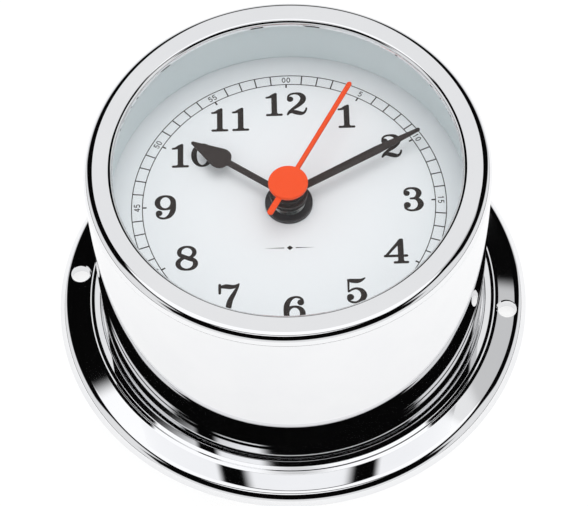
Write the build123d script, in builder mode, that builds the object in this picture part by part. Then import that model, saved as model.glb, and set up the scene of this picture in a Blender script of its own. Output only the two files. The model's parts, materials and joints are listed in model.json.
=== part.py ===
from build123d import *
import math
import os

os.makedirs("parts", exist_ok=True)

# Ship's deck clock. The clock lies on its back: +Z is the arbor axis, out through the glass.
# Twelve on the dial is towards +Y and three towards +X.
# The origin is on the arbor axis, in the plane of the base's underside. Sizes are in millimetres.

# ---------------------------------------------------------------- driving sizes: case and base
OVERALL_HEIGHT = 62.0
CASE_RADIUS = 48.6
CASE_WALL = 2.4
FLANGE_REACH = 11.4
DIAL_DEPTH = 17.95

BASE_FLOOR = 1.2
COLLAR_GAP = 0.3
COLLAR_WALL = 2.0
COLLAR_TOP = 3.5
COLLAR_EASE = 0.5
STEP_WIDTH = 0.75
STEP_DROP = 0.25
LEDGE_WIDTH = 0.35
PAD_OUTER_HEIGHT = 2.7
SIDE_LEAN = 1.5
EDGE_ROUNDING = 3.0
HOLE_RADIUS = 2.4
HOLE_FROM_EDGE = 4.8
SPIGOT_GAP = 0.3
SPIGOT_WALL = 2.5
SPIGOT_TOP = 11.0

PIN_COUNT = 3
PIN_RADIUS = 1.5
PIN_HEIGHT = 6.5
PIN_SEAT_DEPTH = 1.2
PIN_INNER_GAP = 0.8
PIN_CLEARANCE = 0.1
OVERCUT = 1.0
TWIST_TO_LOCK = 7.4
TWIST_TO_RELEASE = 17.6

# ---------------------------------------------------------------- driving sizes: front
BEZEL_ROUNDING = 2.4
BEZEL_LAND = 0.2
BEZEL_REACH = 7.1
BEZEL_LIP_ROUNDING = 1.2
BEZEL_LIP_THICKNESS = 1.7
SKIRT_WALL = 1.1
SKIRT_DEPTH = 4.0
GLASS_THICKNESS = 2.0
GLASS_CLEARANCE = 0.15
GASKET_THICKNESS = 0.5
GASKET_WIDTH = 3.4
SPACER_WALL = 2.3
SPACER_CLEARANCE = 0.2
SHOULDER_REACH = 2.8
SHOULDER_THICKNESS = 1.5
DIAL_THICKNESS = 0.6
DIAL_HOLE_CLEARANCE = 0.2

# ---------------------------------------------------------------- driving sizes: hub and hands
BUSHING_RADIUS = 4.0
BUSHING_ABOVE_DIAL = 2.95
BUSHING_FLANGE_RADIUS = 5.5
BUSHING_FLANGE_THICKNESS = 1.0
NUT_RADIUS = 5.8
NUT_THICKNESS = 0.8
WASHER_THICKNESS = 0.4
RUNNING_CLEARANCE = 0.06

SECOND_ARBOR_RADIUS = 0.5
CANNON_PIPE_RADIUS = 1.5
HOUR_PIPE_RADIUS = 2.5
BLADE_THICKNESS = 0.4

HOUR_BLADE_ABOVE_DIAL = 3.35
HOUR_CLOCK_ANGLE = 305.1
HOUR_TIP = 28.7
HOUR_NECK = 17.5
HOUR_WIDEST = 20.4
HOUR_HALF_SHAFT = 0.82
HOUR_HALF_WIDEST = 2.85
HOUR_HALF_TIP = 0.45
HOUR_SHOULDER_ALONG = 0.24
HOUR_SHOULDER_OUT = 0.73
HOUR_DISC_RADIUS = 4.5

MINUTE_BLADE_ABOVE_DIAL = 4.35
MINUTE_CLOCK_ANGLE = 61.2
MINUTE_TIP = 37.1
MINUTE_WIDEST = 25.0
MINUTE_HALF_SHAFT = 0.95
MINUTE_HALF_WIDEST = 1.1
MINUTE_HALF_TIP = 0.45
MINUTE_DISC_RADIUS = 4.6
MINUTE_DISC_THICKNESS = 0.8
MINUTE_CAP_RADIUS = 3.9
MINUTE_CAP_THICKNESS = 1.2

SECOND_BLADE_ABOVE_DIAL = 8.85
SECOND_CLOCK_ANGLE = 28.5
SECOND_TIP = 33.3
SECOND_TAIL = 9.9
SECOND_HALF_WIDTH = 0.6
SECOND_HALF_TAIL = 0.75
SECOND_BOSS_RADIUS = 4.8
SECOND_BOSS_THICKNESS = 0.8
SECOND_COLLET_RADIUS = 1.1
SECOND_COLLET_DEPTH = 1.8

# ---------------------------------------------------------------- driving sizes: movement
MOVEMENT_SIDE = 56.0
MOVEMENT_THICKNESS = 16.0
MOVEMENT_SPLIT = 9.35
MOVEMENT_WALL = 1.2
BATTERY_SIDE_WALL = 1.0
DIVIDER_WALL = 0.8
PAD_THICKNESS = 0.8
PAD_RADIUS = 13.0
BATTERY_RADIUS = 7.25
BATTERY_LENGTH = 50.5
BATTERY_NUB_RADIUS = 2.6
BATTERY_NUB_LENGTH = 1.0
BATTERY_SIDE_GAP = 0.15
BATTERY_DIVIDER_GAP = 0.25
CONTACT_THICKNESS = 0.4
CONTACT_GAP = 0.15
CONTACT_WIDTH = 11.0
CONTACT_BUMP_RADIUS = 2.2

MIDDLE_PLATE_THICKNESS = 0.7
MIDDLE_PLATE_LIFT = 0.1
MIDDLE_PLATE_GAP = 0.2
POST_RADIUS = 2.0
POST_INSET = 2.5
REAR_POST_X = -4.0
SCREW_RADIUS = 0.8
SCREW_LENGTH = 6.0
SCREW_HEAD_RADIUS = 1.6
SCREW_HEAD_HEIGHT = 0.9
SLOT_WIDTH = 0.4
SLOT_DEPTH = 0.4
PIVOT_BOSS_RADIUS = 1.4
PIVOT_BOSS_HEIGHT = 0.6
PIVOT_SKIN = 0.5
ARBOR_RADIUS = 0.4
ARBOR_END_SHAKE = 0.1

# Gears: clock teeth, with radial flanks under the pitch circle and pointed tops above it.
TOOTH_TOP = 0.85
TOOTH_SHOULDER = 0.45
TOOTH_ROOT = 1.15
TOOTH_HALF_AT_PITCH = 0.20
TOOTH_HALF_AT_SHOULDER = 0.15
TOOTH_HALF_AT_TOP = 0.06
WHEEL_THICKNESS = 0.6
PINION_THICKNESS = 1.3

ROTOR_LEAVES = 8
INTERMEDIATE_TEETH = 60
INTERMEDIATE_LEAVES = 8
SECONDS_TEETH = 32
SECONDS_LEAVES = 8
THIRD_TEETH = 60
THIRD_LEAVES = 8
CENTRE_TEETH = 64
CANNON_LEAVES = 12
MOTION_TEETH = 36
MOTION_LEAVES = 10
HOUR_TEETH = 40
SETTING_LEAVES = 12

ROTOR_MODULE = 0.30
INTERMEDIATE_MODULE = 0.52
SECONDS_MODULE = 0.30
MOTION_MODULE = 0.35

INTERMEDIATE_DIRECTION = 180.0
ROTOR_DIRECTION = 135.0
THIRD_DIRECTION = 60.0
MOTION_DIRECTION = -25.0
SETTING_DIRECTION = 25.0

# Heights of the wheels over the movement's inner floor, in the order of the train.
SECONDS_WHEEL_LIFT = 1.05
INTERMEDIATE_WHEEL_LIFT = 2.55
THIRD_WHEEL_LIFT = 4.35
CENTRE_WHEEL_LIFT = 6.05
CANNON_LIFT = 9.30
HOUR_WHEEL_LIFT = 11.25

MAGNET_RADIUS = 2.9
MAGNET_HEIGHT = 2.0
MAGNET_GAP = 0.4
STATOR_THICKNESS = 0.8
STATOR_LIFT = 4.85
STATOR_ARM = 2.4
STATOR_NECK = 0.5
STATOR_BASE_DEPTH = 9.0
COIL_FLANGE_RADIUS = 3.8
COIL_FLANGE_THICKNESS = 0.6
COIL_LENGTH = 12.2
COIL_WINDING_RADIUS = 3.4
COIL_TUBE_RADIUS = 2.0
COIL_CORE_WIDTH = 2.6
COIL_CORE_THICKNESS = 1.2
COIL_FROM_ROTOR = 15.4
WINDOW_GAP = 0.1
CORE_END_GAP = 0.1
CORE_POST_INSET = 1.1

BOARD_SIZE = (10.6, 13.4)
BOARD_CENTRE = (20.9, 11.3)
BOARD_LIFT = 1.2
BOARD_THICKNESS = 0.8
BOARD_POST_OFFSET = (2.5, 5.2)
CHIP_OFFSET = -2.4
CRYSTAL_OFFSET = 3.2
CHIP_RADIUS = 2.2
CHIP_HEIGHT = 0.9
CHIP_ROUNDING = 0.63
CRYSTAL_RADIUS = 1.0
CRYSTAL_LENGTH = 6.0
STANDOFF_RADIUS = 1.2

SETTING_SHAFT_RADIUS = 0.9
KNOB_RADIUS = 4.4
KNOB_HEIGHT = 3.2
KNOB_FLOOR = 1.0
KNOB_GAP = 0.6
KNOB_GROOVES = 24
KNOB_GROOVE_RADIUS = 0.3
MOTION_POST_RADIUS = 0.6


# ---------------------------------------------------------------- sizes worked out from those
BASE_RADIUS = CASE_RADIUS + FLANGE_REACH
HOLE_CIRCLE_RADIUS = BASE_RADIUS - HOLE_FROM_EDGE
CASE_BORE = CASE_RADIUS - CASE_WALL
SPIGOT_RADIUS = CASE_BORE - SPIGOT_GAP
SPIGOT_BORE = SPIGOT_RADIUS - SPIGOT_WALL
COLLAR_INNER = CASE_RADIUS + COLLAR_GAP
COLLAR_OUTER = COLLAR_INNER + COLLAR_WALL
PAD_INNER = COLLAR_OUTER + 2 * STEP_WIDTH + LEDGE_WIDTH
CASE_BOTTOM = BASE_FLOOR + COLLAR_GAP

CASE_TOP = OVERALL_HEIGHT - BEZEL_ROUNDING - BEZEL_LAND
SKIRT_RADIUS = CASE_BORE + SKIRT_WALL
BEZEL_LIP_RADIUS = CASE_RADIUS - BEZEL_REACH
LIP_UNDERSIDE = OVERALL_HEIGHT - BEZEL_LIP_THICKNESS
GLASS_RADIUS = CASE_BORE - GLASS_CLEARANCE
GLASS_TOP = LIP_UNDERSIDE - GASKET_THICKNESS
GLASS_BOTTOM = GLASS_TOP - GLASS_THICKNESS
SPACER_RADIUS = CASE_BORE - SPACER_CLEARANCE
SPACER_BORE = SPACER_RADIUS - SPACER_WALL
DIAL_TOP = OVERALL_HEIGHT - DIAL_DEPTH
DIAL_BACK = DIAL_TOP - DIAL_THICKNESS
SHOULDER_BORE = CASE_BORE - SHOULDER_REACH
SHOULDER_BOTTOM = DIAL_BACK - SHOULDER_THICKNESS

MOVEMENT_FRONT = DIAL_BACK - PAD_THICKNESS
MOVEMENT_BACK = MOVEMENT_FRONT - MOVEMENT_THICKNESS
FLOOR = MOVEMENT_BACK + MOVEMENT_WALL
CEILING = MOVEMENT_FRONT - MOVEMENT_WALL
SPLIT = MOVEMENT_BACK + MOVEMENT_SPLIT
HALF_SIDE = MOVEMENT_SIDE / 2
INNER_HALF = HALF_SIDE - MOVEMENT_WALL
BATTERY_Y = -HALF_SIDE + BATTERY_SIDE_WALL + BATTERY_SIDE_GAP + BATTERY_RADIUS
BATTERY_Z = MOVEMENT_BACK + BATTERY_RADIUS
BAY_FRONT = -HALF_SIDE + BATTERY_SIDE_WALL
BAY_REAR = BATTERY_Y + BATTERY_RADIUS + BATTERY_DIVIDER_GAP
TRAIN_FRONT = BAY_REAR + DIVIDER_WALL
MIDDLE_PLATE_BOTTOM = SPLIT + MIDDLE_PLATE_LIFT
MIDDLE_PLATE_TOP = MIDDLE_PLATE_BOTTOM + MIDDLE_PLATE_THICKNESS

BUSHING_TOP = DIAL_TOP + BUSHING_ABOVE_DIAL
BUSHING_BORE = HOUR_PIPE_RADIUS + RUNNING_CLEARANCE
WASHER_TOP = DIAL_TOP + WASHER_THICKNESS
HOUR_BLADE = DIAL_TOP + HOUR_BLADE_ABOVE_DIAL
MINUTE_BLADE = DIAL_TOP + MINUTE_BLADE_ABOVE_DIAL
SECOND_BLADE = DIAL_TOP + SECOND_BLADE_ABOVE_DIAL

# Wheel heights: the middle of each wheel's rim.
SECONDS_Z = FLOOR + SECONDS_WHEEL_LIFT + WHEEL_THICKNESS / 2
INTERMEDIATE_Z = FLOOR + INTERMEDIATE_WHEEL_LIFT + WHEEL_THICKNESS / 2
THIRD_Z = FLOOR + THIRD_WHEEL_LIFT + WHEEL_THICKNESS / 2
CENTRE_Z = FLOOR + CENTRE_WHEEL_LIFT + WHEEL_THICKNESS / 2
CANNON_Z = FLOOR + CANNON_LIFT + PINION_THICKNESS / 2
HOUR_Z = FLOOR + HOUR_WHEEL_LIFT + WHEEL_THICKNESS / 2
STATOR_BOTTOM = FLOOR + STATOR_LIFT


def polar(distance, direction, start=(0.0, 0.0)):
    """The point at a distance and direction (degrees from +X) from a start point."""
    angle = math.radians(direction)
    return (start[0] + distance * math.cos(angle), start[1] + distance * math.sin(angle))


def centre_distance(module, teeth, leaves):
    return module * (teeth + leaves) / 2


def mesh_phase(phase, teeth, other_teeth, direction):
    """The phase of a gear whose gap takes the tooth of a gear meshed along a direction."""
    pitch = 360 / teeth
    other_pitch = 360 / other_teeth
    behind = ((direction - phase) % pitch) / pitch
    return direction + 180 + (behind + 0.5) * other_pitch


def gear_points(teeth, module, phase):
    """The closed outline of a gear, with one tooth centred on the phase angle."""
    radius = module * teeth / 2
    profile = [
        (-TOOTH_HALF_AT_PITCH, radius - TOOTH_ROOT * module),
        (-TOOTH_HALF_AT_PITCH, radius),
        (-TOOTH_HALF_AT_SHOULDER, radius + TOOTH_SHOULDER * module),
        (-TOOTH_HALF_AT_TOP, radius + TOOTH_TOP * module),
        (TOOTH_HALF_AT_TOP, radius + TOOTH_TOP * module),
        (TOOTH_HALF_AT_SHOULDER, radius + TOOTH_SHOULDER * module),
        (TOOTH_HALF_AT_PITCH, radius),
        (TOOTH_HALF_AT_PITCH, radius - TOOTH_ROOT * module),
    ]
    pitch = 360 / teeth
    points = []
    for tooth in range(teeth):
        for share, distance in profile:
            points.append(polar(distance, phase + (tooth + share) * pitch))
    return points


def clock_direction(clock_angle):
    """Degrees from +X of an angle counted clockwise from twelve."""
    return 90 - clock_angle


def hand_plane(height, clock_angle):
    """A plane whose X axis runs along a hand, at a height."""
    direction = polar(1, clock_direction(clock_angle))
    return Plane(origin=(0, 0, height), x_dir=(direction[0], direction[1], 0), z_dir=(0, 0, 1))


def radial_plane(distance, direction, height):
    """A plane facing outwards at a distance from the arbor axis."""
    x, y = polar(distance, direction)
    outward = polar(1, direction)
    return Plane(origin=(x, y, height), z_dir=(outward[0], outward[1], 0))


def level(place, height):
    """A horizontal plane with its origin on an arbor, at a height."""
    return Plane(origin=(place[0], place[1], height))


# The places of the arbors, from the centre outwards.
INTERMEDIATE_AT = polar(
    centre_distance(INTERMEDIATE_MODULE, SECONDS_TEETH, INTERMEDIATE_LEAVES), INTERMEDIATE_DIRECTION
)
ROTOR_AT = polar(
    centre_distance(ROTOR_MODULE, INTERMEDIATE_TEETH, ROTOR_LEAVES), ROTOR_DIRECTION, INTERMEDIATE_AT
)
THIRD_DISTANCE = centre_distance(SECONDS_MODULE, THIRD_TEETH, SECONDS_LEAVES)
THIRD_AT = polar(THIRD_DISTANCE, THIRD_DIRECTION)
CENTRE_MODULE = 2 * THIRD_DISTANCE / (CENTRE_TEETH + THIRD_LEAVES)
MOTION_DISTANCE = centre_distance(MOTION_MODULE, MOTION_TEETH, CANNON_LEAVES)
MOTION_AT = polar(MOTION_DISTANCE, MOTION_DIRECTION)
HOUR_MODULE = 2 * MOTION_DISTANCE / (HOUR_TEETH + MOTION_LEAVES)
SETTING_AT = polar(
    centre_distance(MOTION_MODULE, MOTION_TEETH, SETTING_LEAVES), SETTING_DIRECTION, MOTION_AT
)
POSTS_AT = [
    (INNER_HALF - POST_INSET, INNER_HALF - POST_INSET),
    (INNER_HALF - POST_INSET, TRAIN_FRONT + POST_INSET),
    (-INNER_HALF + POST_INSET, TRAIN_FRONT + POST_INSET),
    (REAR_POST_X, INNER_HALF - POST_INSET),
]
PIN_DIRECTIONS = [90 + number * 360 / PIN_COUNT for number in range(PIN_COUNT)]

# The phase of each gear follows from the wheel that it meshes with.
SECONDS_WHEEL_PHASE = 0.0
INTERMEDIATE_PINION_PHASE = mesh_phase(
    SECONDS_WHEEL_PHASE, SECONDS_TEETH, INTERMEDIATE_LEAVES, INTERMEDIATE_DIRECTION
)
INTERMEDIATE_WHEEL_PHASE = 0.0
ROTOR_PHASE = mesh_phase(INTERMEDIATE_WHEEL_PHASE, INTERMEDIATE_TEETH, ROTOR_LEAVES, ROTOR_DIRECTION)
SECONDS_PINION_PHASE = 0.0
THIRD_WHEEL_PHASE = mesh_phase(SECONDS_PINION_PHASE, SECONDS_LEAVES, THIRD_TEETH, THIRD_DIRECTION)
CENTRE_PHASE = 0.0
THIRD_PINION_PHASE = mesh_phase(CENTRE_PHASE, CENTRE_TEETH, THIRD_LEAVES, THIRD_DIRECTION)
CANNON_PHASE = 0.0
MOTION_WHEEL_PHASE = mesh_phase(CANNON_PHASE, CANNON_LEAVES, MOTION_TEETH, MOTION_DIRECTION)
SETTING_PHASE = mesh_phase(MOTION_WHEEL_PHASE, MOTION_TEETH, SETTING_LEAVES, SETTING_DIRECTION)
HOUR_PHASE = 0.0
MOTION_PINION_PHASE = mesh_phase(HOUR_PHASE, HOUR_TEETH, MOTION_LEAVES, MOTION_DIRECTION)


# ---------------------------------------------------------------- base ring
# A flange for the bulkhead, a collar round the case's foot, and a spigot with bayonet slots.
# Only at full lock do the screw holes lie on the dial's three to nine line.
with BuildPart() as base_ring:
    with BuildSketch(Plane.XZ) as base_profile:
        with BuildLine():
            Polyline(
                (SPIGOT_BORE, 0),
                (SPIGOT_BORE, SPIGOT_TOP),
                (SPIGOT_RADIUS, SPIGOT_TOP),
                (SPIGOT_RADIUS, BASE_FLOOR),
                (COLLAR_INNER, BASE_FLOOR),
                (COLLAR_INNER, COLLAR_TOP - COLLAR_EASE),
                (COLLAR_INNER + COLLAR_EASE, COLLAR_TOP),
                (COLLAR_OUTER, COLLAR_TOP),
                (COLLAR_OUTER + STEP_WIDTH, COLLAR_TOP - STEP_DROP),
                (PAD_INNER - STEP_WIDTH, COLLAR_TOP - STEP_DROP),
                (PAD_INNER, COLLAR_TOP - 2 * STEP_DROP),
                (BASE_RADIUS - SIDE_LEAN, PAD_OUTER_HEIGHT),
                (BASE_RADIUS, 0),
                (SPIGOT_BORE, 0),
            )
        make_face()
    revolve(axis=Axis.Z)
    flange_circles = base_ring.edges().filter_by(GeomType.CIRCLE).sort_by(lambda edge: edge.radius)
    fillet(flange_circles[-2], EDGE_ROUNDING)
    with BuildSketch(Plane.XY):
        with PolarLocations(HOLE_CIRCLE_RADIUS, 2, start_angle=-TWIST_TO_LOCK):
            Circle(HOLE_RADIUS)
    extrude(amount=COLLAR_TOP, mode=Mode.SUBTRACT)
    slot_half = PIN_RADIUS + PIN_CLEARANCE
    slot_half_angle = math.degrees(slot_half / SPIGOT_BORE)
    for pin_direction in PIN_DIRECTIONS:
        slot_start = pin_direction - TWIST_TO_LOCK - slot_half_angle
        slot_turn = TWIST_TO_LOCK + TWIST_TO_RELEASE + 2 * slot_half_angle
        entry_start = pin_direction + TWIST_TO_RELEASE - slot_half_angle
        inner_cut = SPIGOT_BORE - SPIGOT_WALL
        outer_cut = SPIGOT_RADIUS + SPIGOT_GAP / 2
        with BuildSketch(Plane.XY.offset(PIN_HEIGHT - slot_half)):
            with BuildLine():
                CenterArc((0, 0), outer_cut, slot_start, slot_turn)
                CenterArc((0, 0), inner_cut, slot_start, slot_turn)
                Line(polar(inner_cut, slot_start), polar(outer_cut, slot_start))
                Line(polar(inner_cut, slot_start + slot_turn), polar(outer_cut, slot_start + slot_turn))
            make_face()
        extrude(amount=2 * slot_half, mode=Mode.SUBTRACT)
        with BuildSketch(Plane.XY.offset(PIN_HEIGHT)):
            with BuildLine():
                CenterArc((0, 0), outer_cut, entry_start, 2 * slot_half_angle)
                CenterArc((0, 0), inner_cut, entry_start, 2 * slot_half_angle)
                Line(polar(inner_cut, entry_start), polar(outer_cut, entry_start))
                Line(
                    polar(inner_cut, entry_start + 2 * slot_half_angle),
                    polar(outer_cut, entry_start + 2 * slot_half_angle),
                )
            make_face()
        extrude(amount=SPIGOT_TOP - PIN_HEIGHT + OVERCUT, mode=Mode.SUBTRACT)
base_ring.part.label = "base_ring"
export_step(base_ring.part, "parts/base_ring.step")

# ---------------------------------------------------------------- case body
# A turned tube with a shoulder for the dial and a rebate at the top for the bezel's skirt.
with BuildPart() as case_body:
    with BuildSketch(Plane.XZ):
        with BuildLine():
            Polyline(
                (CASE_BORE, CASE_BOTTOM),
                (CASE_RADIUS, CASE_BOTTOM),
                (CASE_RADIUS, CASE_TOP),
                (SKIRT_RADIUS, CASE_TOP),
                (SKIRT_RADIUS, CASE_TOP - SKIRT_DEPTH),
                (CASE_BORE, CASE_TOP - SKIRT_DEPTH),
                (CASE_BORE, DIAL_BACK),
                (SHOULDER_BORE, DIAL_BACK),
                (SHOULDER_BORE, SHOULDER_BOTTOM),
                (CASE_BORE, SHOULDER_BOTTOM - SHOULDER_REACH / 2),
                close=True,
            )
        make_face()
    revolve(axis=Axis.Z)
    for pin_direction in PIN_DIRECTIONS:
        with BuildSketch(radial_plane(CASE_BORE - OVERCUT, pin_direction, PIN_HEIGHT)):
            Circle(PIN_RADIUS)
        extrude(amount=OVERCUT + PIN_SEAT_DEPTH, mode=Mode.SUBTRACT)
case_body.part.label = "case_body"
export_step(case_body.part, "parts/case_body.step")

with BuildPart() as bayonet_pins:
    for pin_direction in PIN_DIRECTIONS:
        pin_inner = SPIGOT_BORE + PIN_INNER_GAP
        with BuildSketch(radial_plane(pin_inner, pin_direction, PIN_HEIGHT)):
            Circle(PIN_RADIUS)
        extrude(amount=CASE_BORE + PIN_SEAT_DEPTH - pin_inner)
bayonet_pins.part.label = "bayonet_pins"
export_step(bayonet_pins.part, "parts/bayonet_pins.step")

# ---------------------------------------------------------------- bezel, glass and what they clamp
with BuildPart() as bezel:
    with BuildSketch(Plane.XZ):
        with BuildLine():
            lip_start = (BEZEL_LIP_RADIUS, OVERALL_HEIGHT - BEZEL_LIP_ROUNDING)
            lip_end = (BEZEL_LIP_RADIUS + BEZEL_LIP_ROUNDING, OVERALL_HEIGHT)
            rim_start = (CASE_RADIUS - BEZEL_ROUNDING, OVERALL_HEIGHT)
            rim_end = (CASE_RADIUS, OVERALL_HEIGHT - BEZEL_ROUNDING)
            Line((BEZEL_LIP_RADIUS, LIP_UNDERSIDE), lip_start)
            RadiusArc(lip_start, lip_end, BEZEL_LIP_ROUNDING)
            Line(lip_end, rim_start)
            RadiusArc(rim_start, rim_end, BEZEL_ROUNDING)
            Polyline(
                rim_end,
                (CASE_RADIUS, CASE_TOP),
                (SKIRT_RADIUS, CASE_TOP),
                (SKIRT_RADIUS, CASE_TOP - SKIRT_DEPTH),
                (CASE_BORE, CASE_TOP - SKIRT_DEPTH),
                (CASE_BORE, LIP_UNDERSIDE),
                (BEZEL_LIP_RADIUS, LIP_UNDERSIDE),
            )
        make_face()
    revolve(axis=Axis.Z)
bezel.part.label = "bezel"
export_step(bezel.part, "parts/bezel.step")

with BuildPart() as glass_gasket:
    with BuildSketch(Plane.XY.offset(GLASS_TOP)):
        Circle(GLASS_RADIUS)
        Circle(GLASS_RADIUS - GASKET_WIDTH, mode=Mode.SUBTRACT)
    extrude(amount=GASKET_THICKNESS)
glass_gasket.part.label = "glass_gasket"
export_step(glass_gasket.part, "parts/glass_gasket.step")

with BuildPart() as glass:
    with BuildSketch(Plane.XY.offset(GLASS_BOTTOM)):
        Circle(GLASS_RADIUS)
    extrude(amount=GLASS_THICKNESS)
glass.part.label = "glass"
export_step(glass.part, "parts/glass.step")

with BuildPart() as dial_spacer:
    with BuildSketch(Plane.XY.offset(DIAL_TOP)):
        Circle(SPACER_RADIUS)
        Circle(SPACER_BORE, mode=Mode.SUBTRACT)
    extrude(amount=GLASS_BOTTOM - DIAL_TOP)
dial_spacer.part.label = "dial_spacer"
export_step(dial_spacer.part, "parts/dial_spacer.step")

with BuildPart() as dial:
    with BuildSketch(Plane.XY.offset(DIAL_BACK)):
        Circle(SPACER_RADIUS)
        Circle(BUSHING_RADIUS + DIAL_HOLE_CLEARANCE, mode=Mode.SUBTRACT)
    extrude(amount=DIAL_THICKNESS)
dial.part.label = "dial"
export_step(dial.part, "parts/dial.step")

# ---------------------------------------------------------------- what clamps the movement to the dial
with BuildPart() as dial_washer:
    with BuildSketch(Plane.XY.offset(DIAL_TOP)):
        Circle(NUT_RADIUS)
        Circle(BUSHING_RADIUS, mode=Mode.SUBTRACT)
    extrude(amount=WASHER_THICKNESS)
dial_washer.part.label = "dial_washer"
export_step(dial_washer.part, "parts/dial_washer.step")

with BuildPart() as hub_nut:
    with BuildSketch(Plane.XY.offset(WASHER_TOP)):
        Circle(NUT_RADIUS)
        Circle(BUSHING_RADIUS, mode=Mode.SUBTRACT)
    extrude(amount=NUT_THICKNESS)
    chamfer(hub_nut.edges().group_by(Axis.Z)[-1].sort_by(SortBy.RADIUS)[-1], NUT_THICKNESS / 3)
hub_nut.part.label = "hub_nut"
export_step(hub_nut.part, "parts/hub_nut.step")

with BuildPart() as threaded_bushing:
    with BuildSketch(Plane.XY.offset(CEILING - BUSHING_FLANGE_THICKNESS)):
        Circle(BUSHING_FLANGE_RADIUS)
    extrude(amount=BUSHING_FLANGE_THICKNESS)
    with BuildSketch(Plane.XY.offset(CEILING)):
        Circle(BUSHING_RADIUS)
    extrude(amount=BUSHING_TOP - CEILING)
    with BuildSketch(Plane.XY.offset(CEILING - BUSHING_FLANGE_THICKNESS)):
        Circle(BUSHING_BORE)
    extrude(amount=BUSHING_TOP - CEILING + BUSHING_FLANGE_THICKNESS, mode=Mode.SUBTRACT)
threaded_bushing.part.label = "threaded_bushing"
export_step(threaded_bushing.part, "parts/threaded_bushing.step")

with BuildPart() as movement_pad:
    with BuildSketch(Plane.XY.offset(MOVEMENT_FRONT)):
        Circle(PAD_RADIUS)
        Circle(BUSHING_RADIUS + DIAL_HOLE_CLEARANCE, mode=Mode.SUBTRACT)
    extrude(amount=PAD_THICKNESS)
movement_pad.part.label = "movement_pad"
export_step(movement_pad.part, "parts/movement_pad.step")

# ---------------------------------------------------------------- movement housing
BAY_DEPTH = BAY_REAR - BAY_FRONT
TRAIN_DEPTH = INNER_HALF - TRAIN_FRONT
PIVOTS = [
    (INTERMEDIATE_AT, ARBOR_RADIUS),
    (ROTOR_AT, ARBOR_RADIUS),
    (THIRD_AT, ARBOR_RADIUS),
    ((0, 0), SECOND_ARBOR_RADIUS),
]
COIL_CENTRE = (ROTOR_AT[0], ROTOR_AT[1] + COIL_FROM_ROTOR)
COIL_Z = STATOR_BOTTOM - COIL_CORE_THICKNESS / 2
CORE_HALF_LENGTH = COIL_LENGTH / 2 + WINDOW_GAP + STATOR_ARM - CORE_END_GAP
CORE_POSTS_AT = [
    (COIL_CENTRE[0] - CORE_HALF_LENGTH + CORE_POST_INSET, COIL_CENTRE[1]),
    (COIL_CENTRE[0] + CORE_HALF_LENGTH - CORE_POST_INSET, COIL_CENTRE[1]),
]
BOARD_POSTS_AT = [
    (BOARD_CENTRE[0] - BOARD_POST_OFFSET[0], BOARD_CENTRE[1] - BOARD_POST_OFFSET[1]),
    (BOARD_CENTRE[0] + BOARD_POST_OFFSET[0], BOARD_CENTRE[1] + BOARD_POST_OFFSET[1]),
]

with BuildPart() as movement_back:
    with BuildSketch(Plane.XY.offset(MOVEMENT_BACK)):
        RectangleRounded(MOVEMENT_SIDE, MOVEMENT_SIDE, MOVEMENT_WALL)
    extrude(amount=MOVEMENT_SPLIT)
    with BuildSketch(Plane.XY.offset(FLOOR)):
        with Locations((0, TRAIN_FRONT + TRAIN_DEPTH / 2)):
            Rectangle(2 * INNER_HALF, TRAIN_DEPTH)
    extrude(amount=MOVEMENT_SPLIT, mode=Mode.SUBTRACT)
    with BuildSketch(Plane.XY.offset(MOVEMENT_BACK)):
        with Locations((0, BAY_FRONT + BAY_DEPTH / 2)):
            Rectangle(2 * INNER_HALF, BAY_DEPTH)
    extrude(amount=MOVEMENT_SPLIT, mode=Mode.SUBTRACT)
    with BuildSketch(Plane.XY.offset(FLOOR)):
        with Locations(*POSTS_AT):
            Circle(POST_RADIUS)
    extrude(amount=MIDDLE_PLATE_BOTTOM - FLOOR)
    with BuildSketch(Plane.XY.offset(FLOOR)):
        with Locations(*CORE_POSTS_AT):
            Circle(STANDOFF_RADIUS)
    extrude(amount=STATOR_BOTTOM - COIL_CORE_THICKNESS - FLOOR)
    with BuildSketch(Plane.XY.offset(FLOOR)):
        with Locations(*BOARD_POSTS_AT):
            Circle(STANDOFF_RADIUS)
    extrude(amount=BOARD_LIFT)
    with BuildSketch(Plane.XY.offset(FLOOR)):
        for place, _ in PIVOTS:
            with Locations(place):
                Circle(PIVOT_BOSS_RADIUS)
    extrude(amount=PIVOT_BOSS_HEIGHT)
    with BuildSketch(Plane.XY.offset(MOVEMENT_BACK + PIVOT_SKIN)):
        for place, arbor_radius in PIVOTS:
            with Locations(place):
                Circle(arbor_radius + RUNNING_CLEARANCE)
    extrude(amount=MOVEMENT_WALL + PIVOT_BOSS_HEIGHT, mode=Mode.SUBTRACT)
    with BuildSketch(Plane.XY.offset(MOVEMENT_BACK)):
        with Locations(SETTING_AT):
            Circle(SETTING_SHAFT_RADIUS + RUNNING_CLEARANCE)
    extrude(amount=MOVEMENT_WALL, mode=Mode.SUBTRACT)
    with BuildSketch(Plane.XY.offset(MIDDLE_PLATE_TOP - SCREW_LENGTH)):
        with Locations(*POSTS_AT):
            Circle(SCREW_RADIUS)
    extrude(amount=SCREW_LENGTH, mode=Mode.SUBTRACT)
movement_back.part.label = "movement_back"
export_step(movement_back.part, "parts/movement_back.step")

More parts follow.
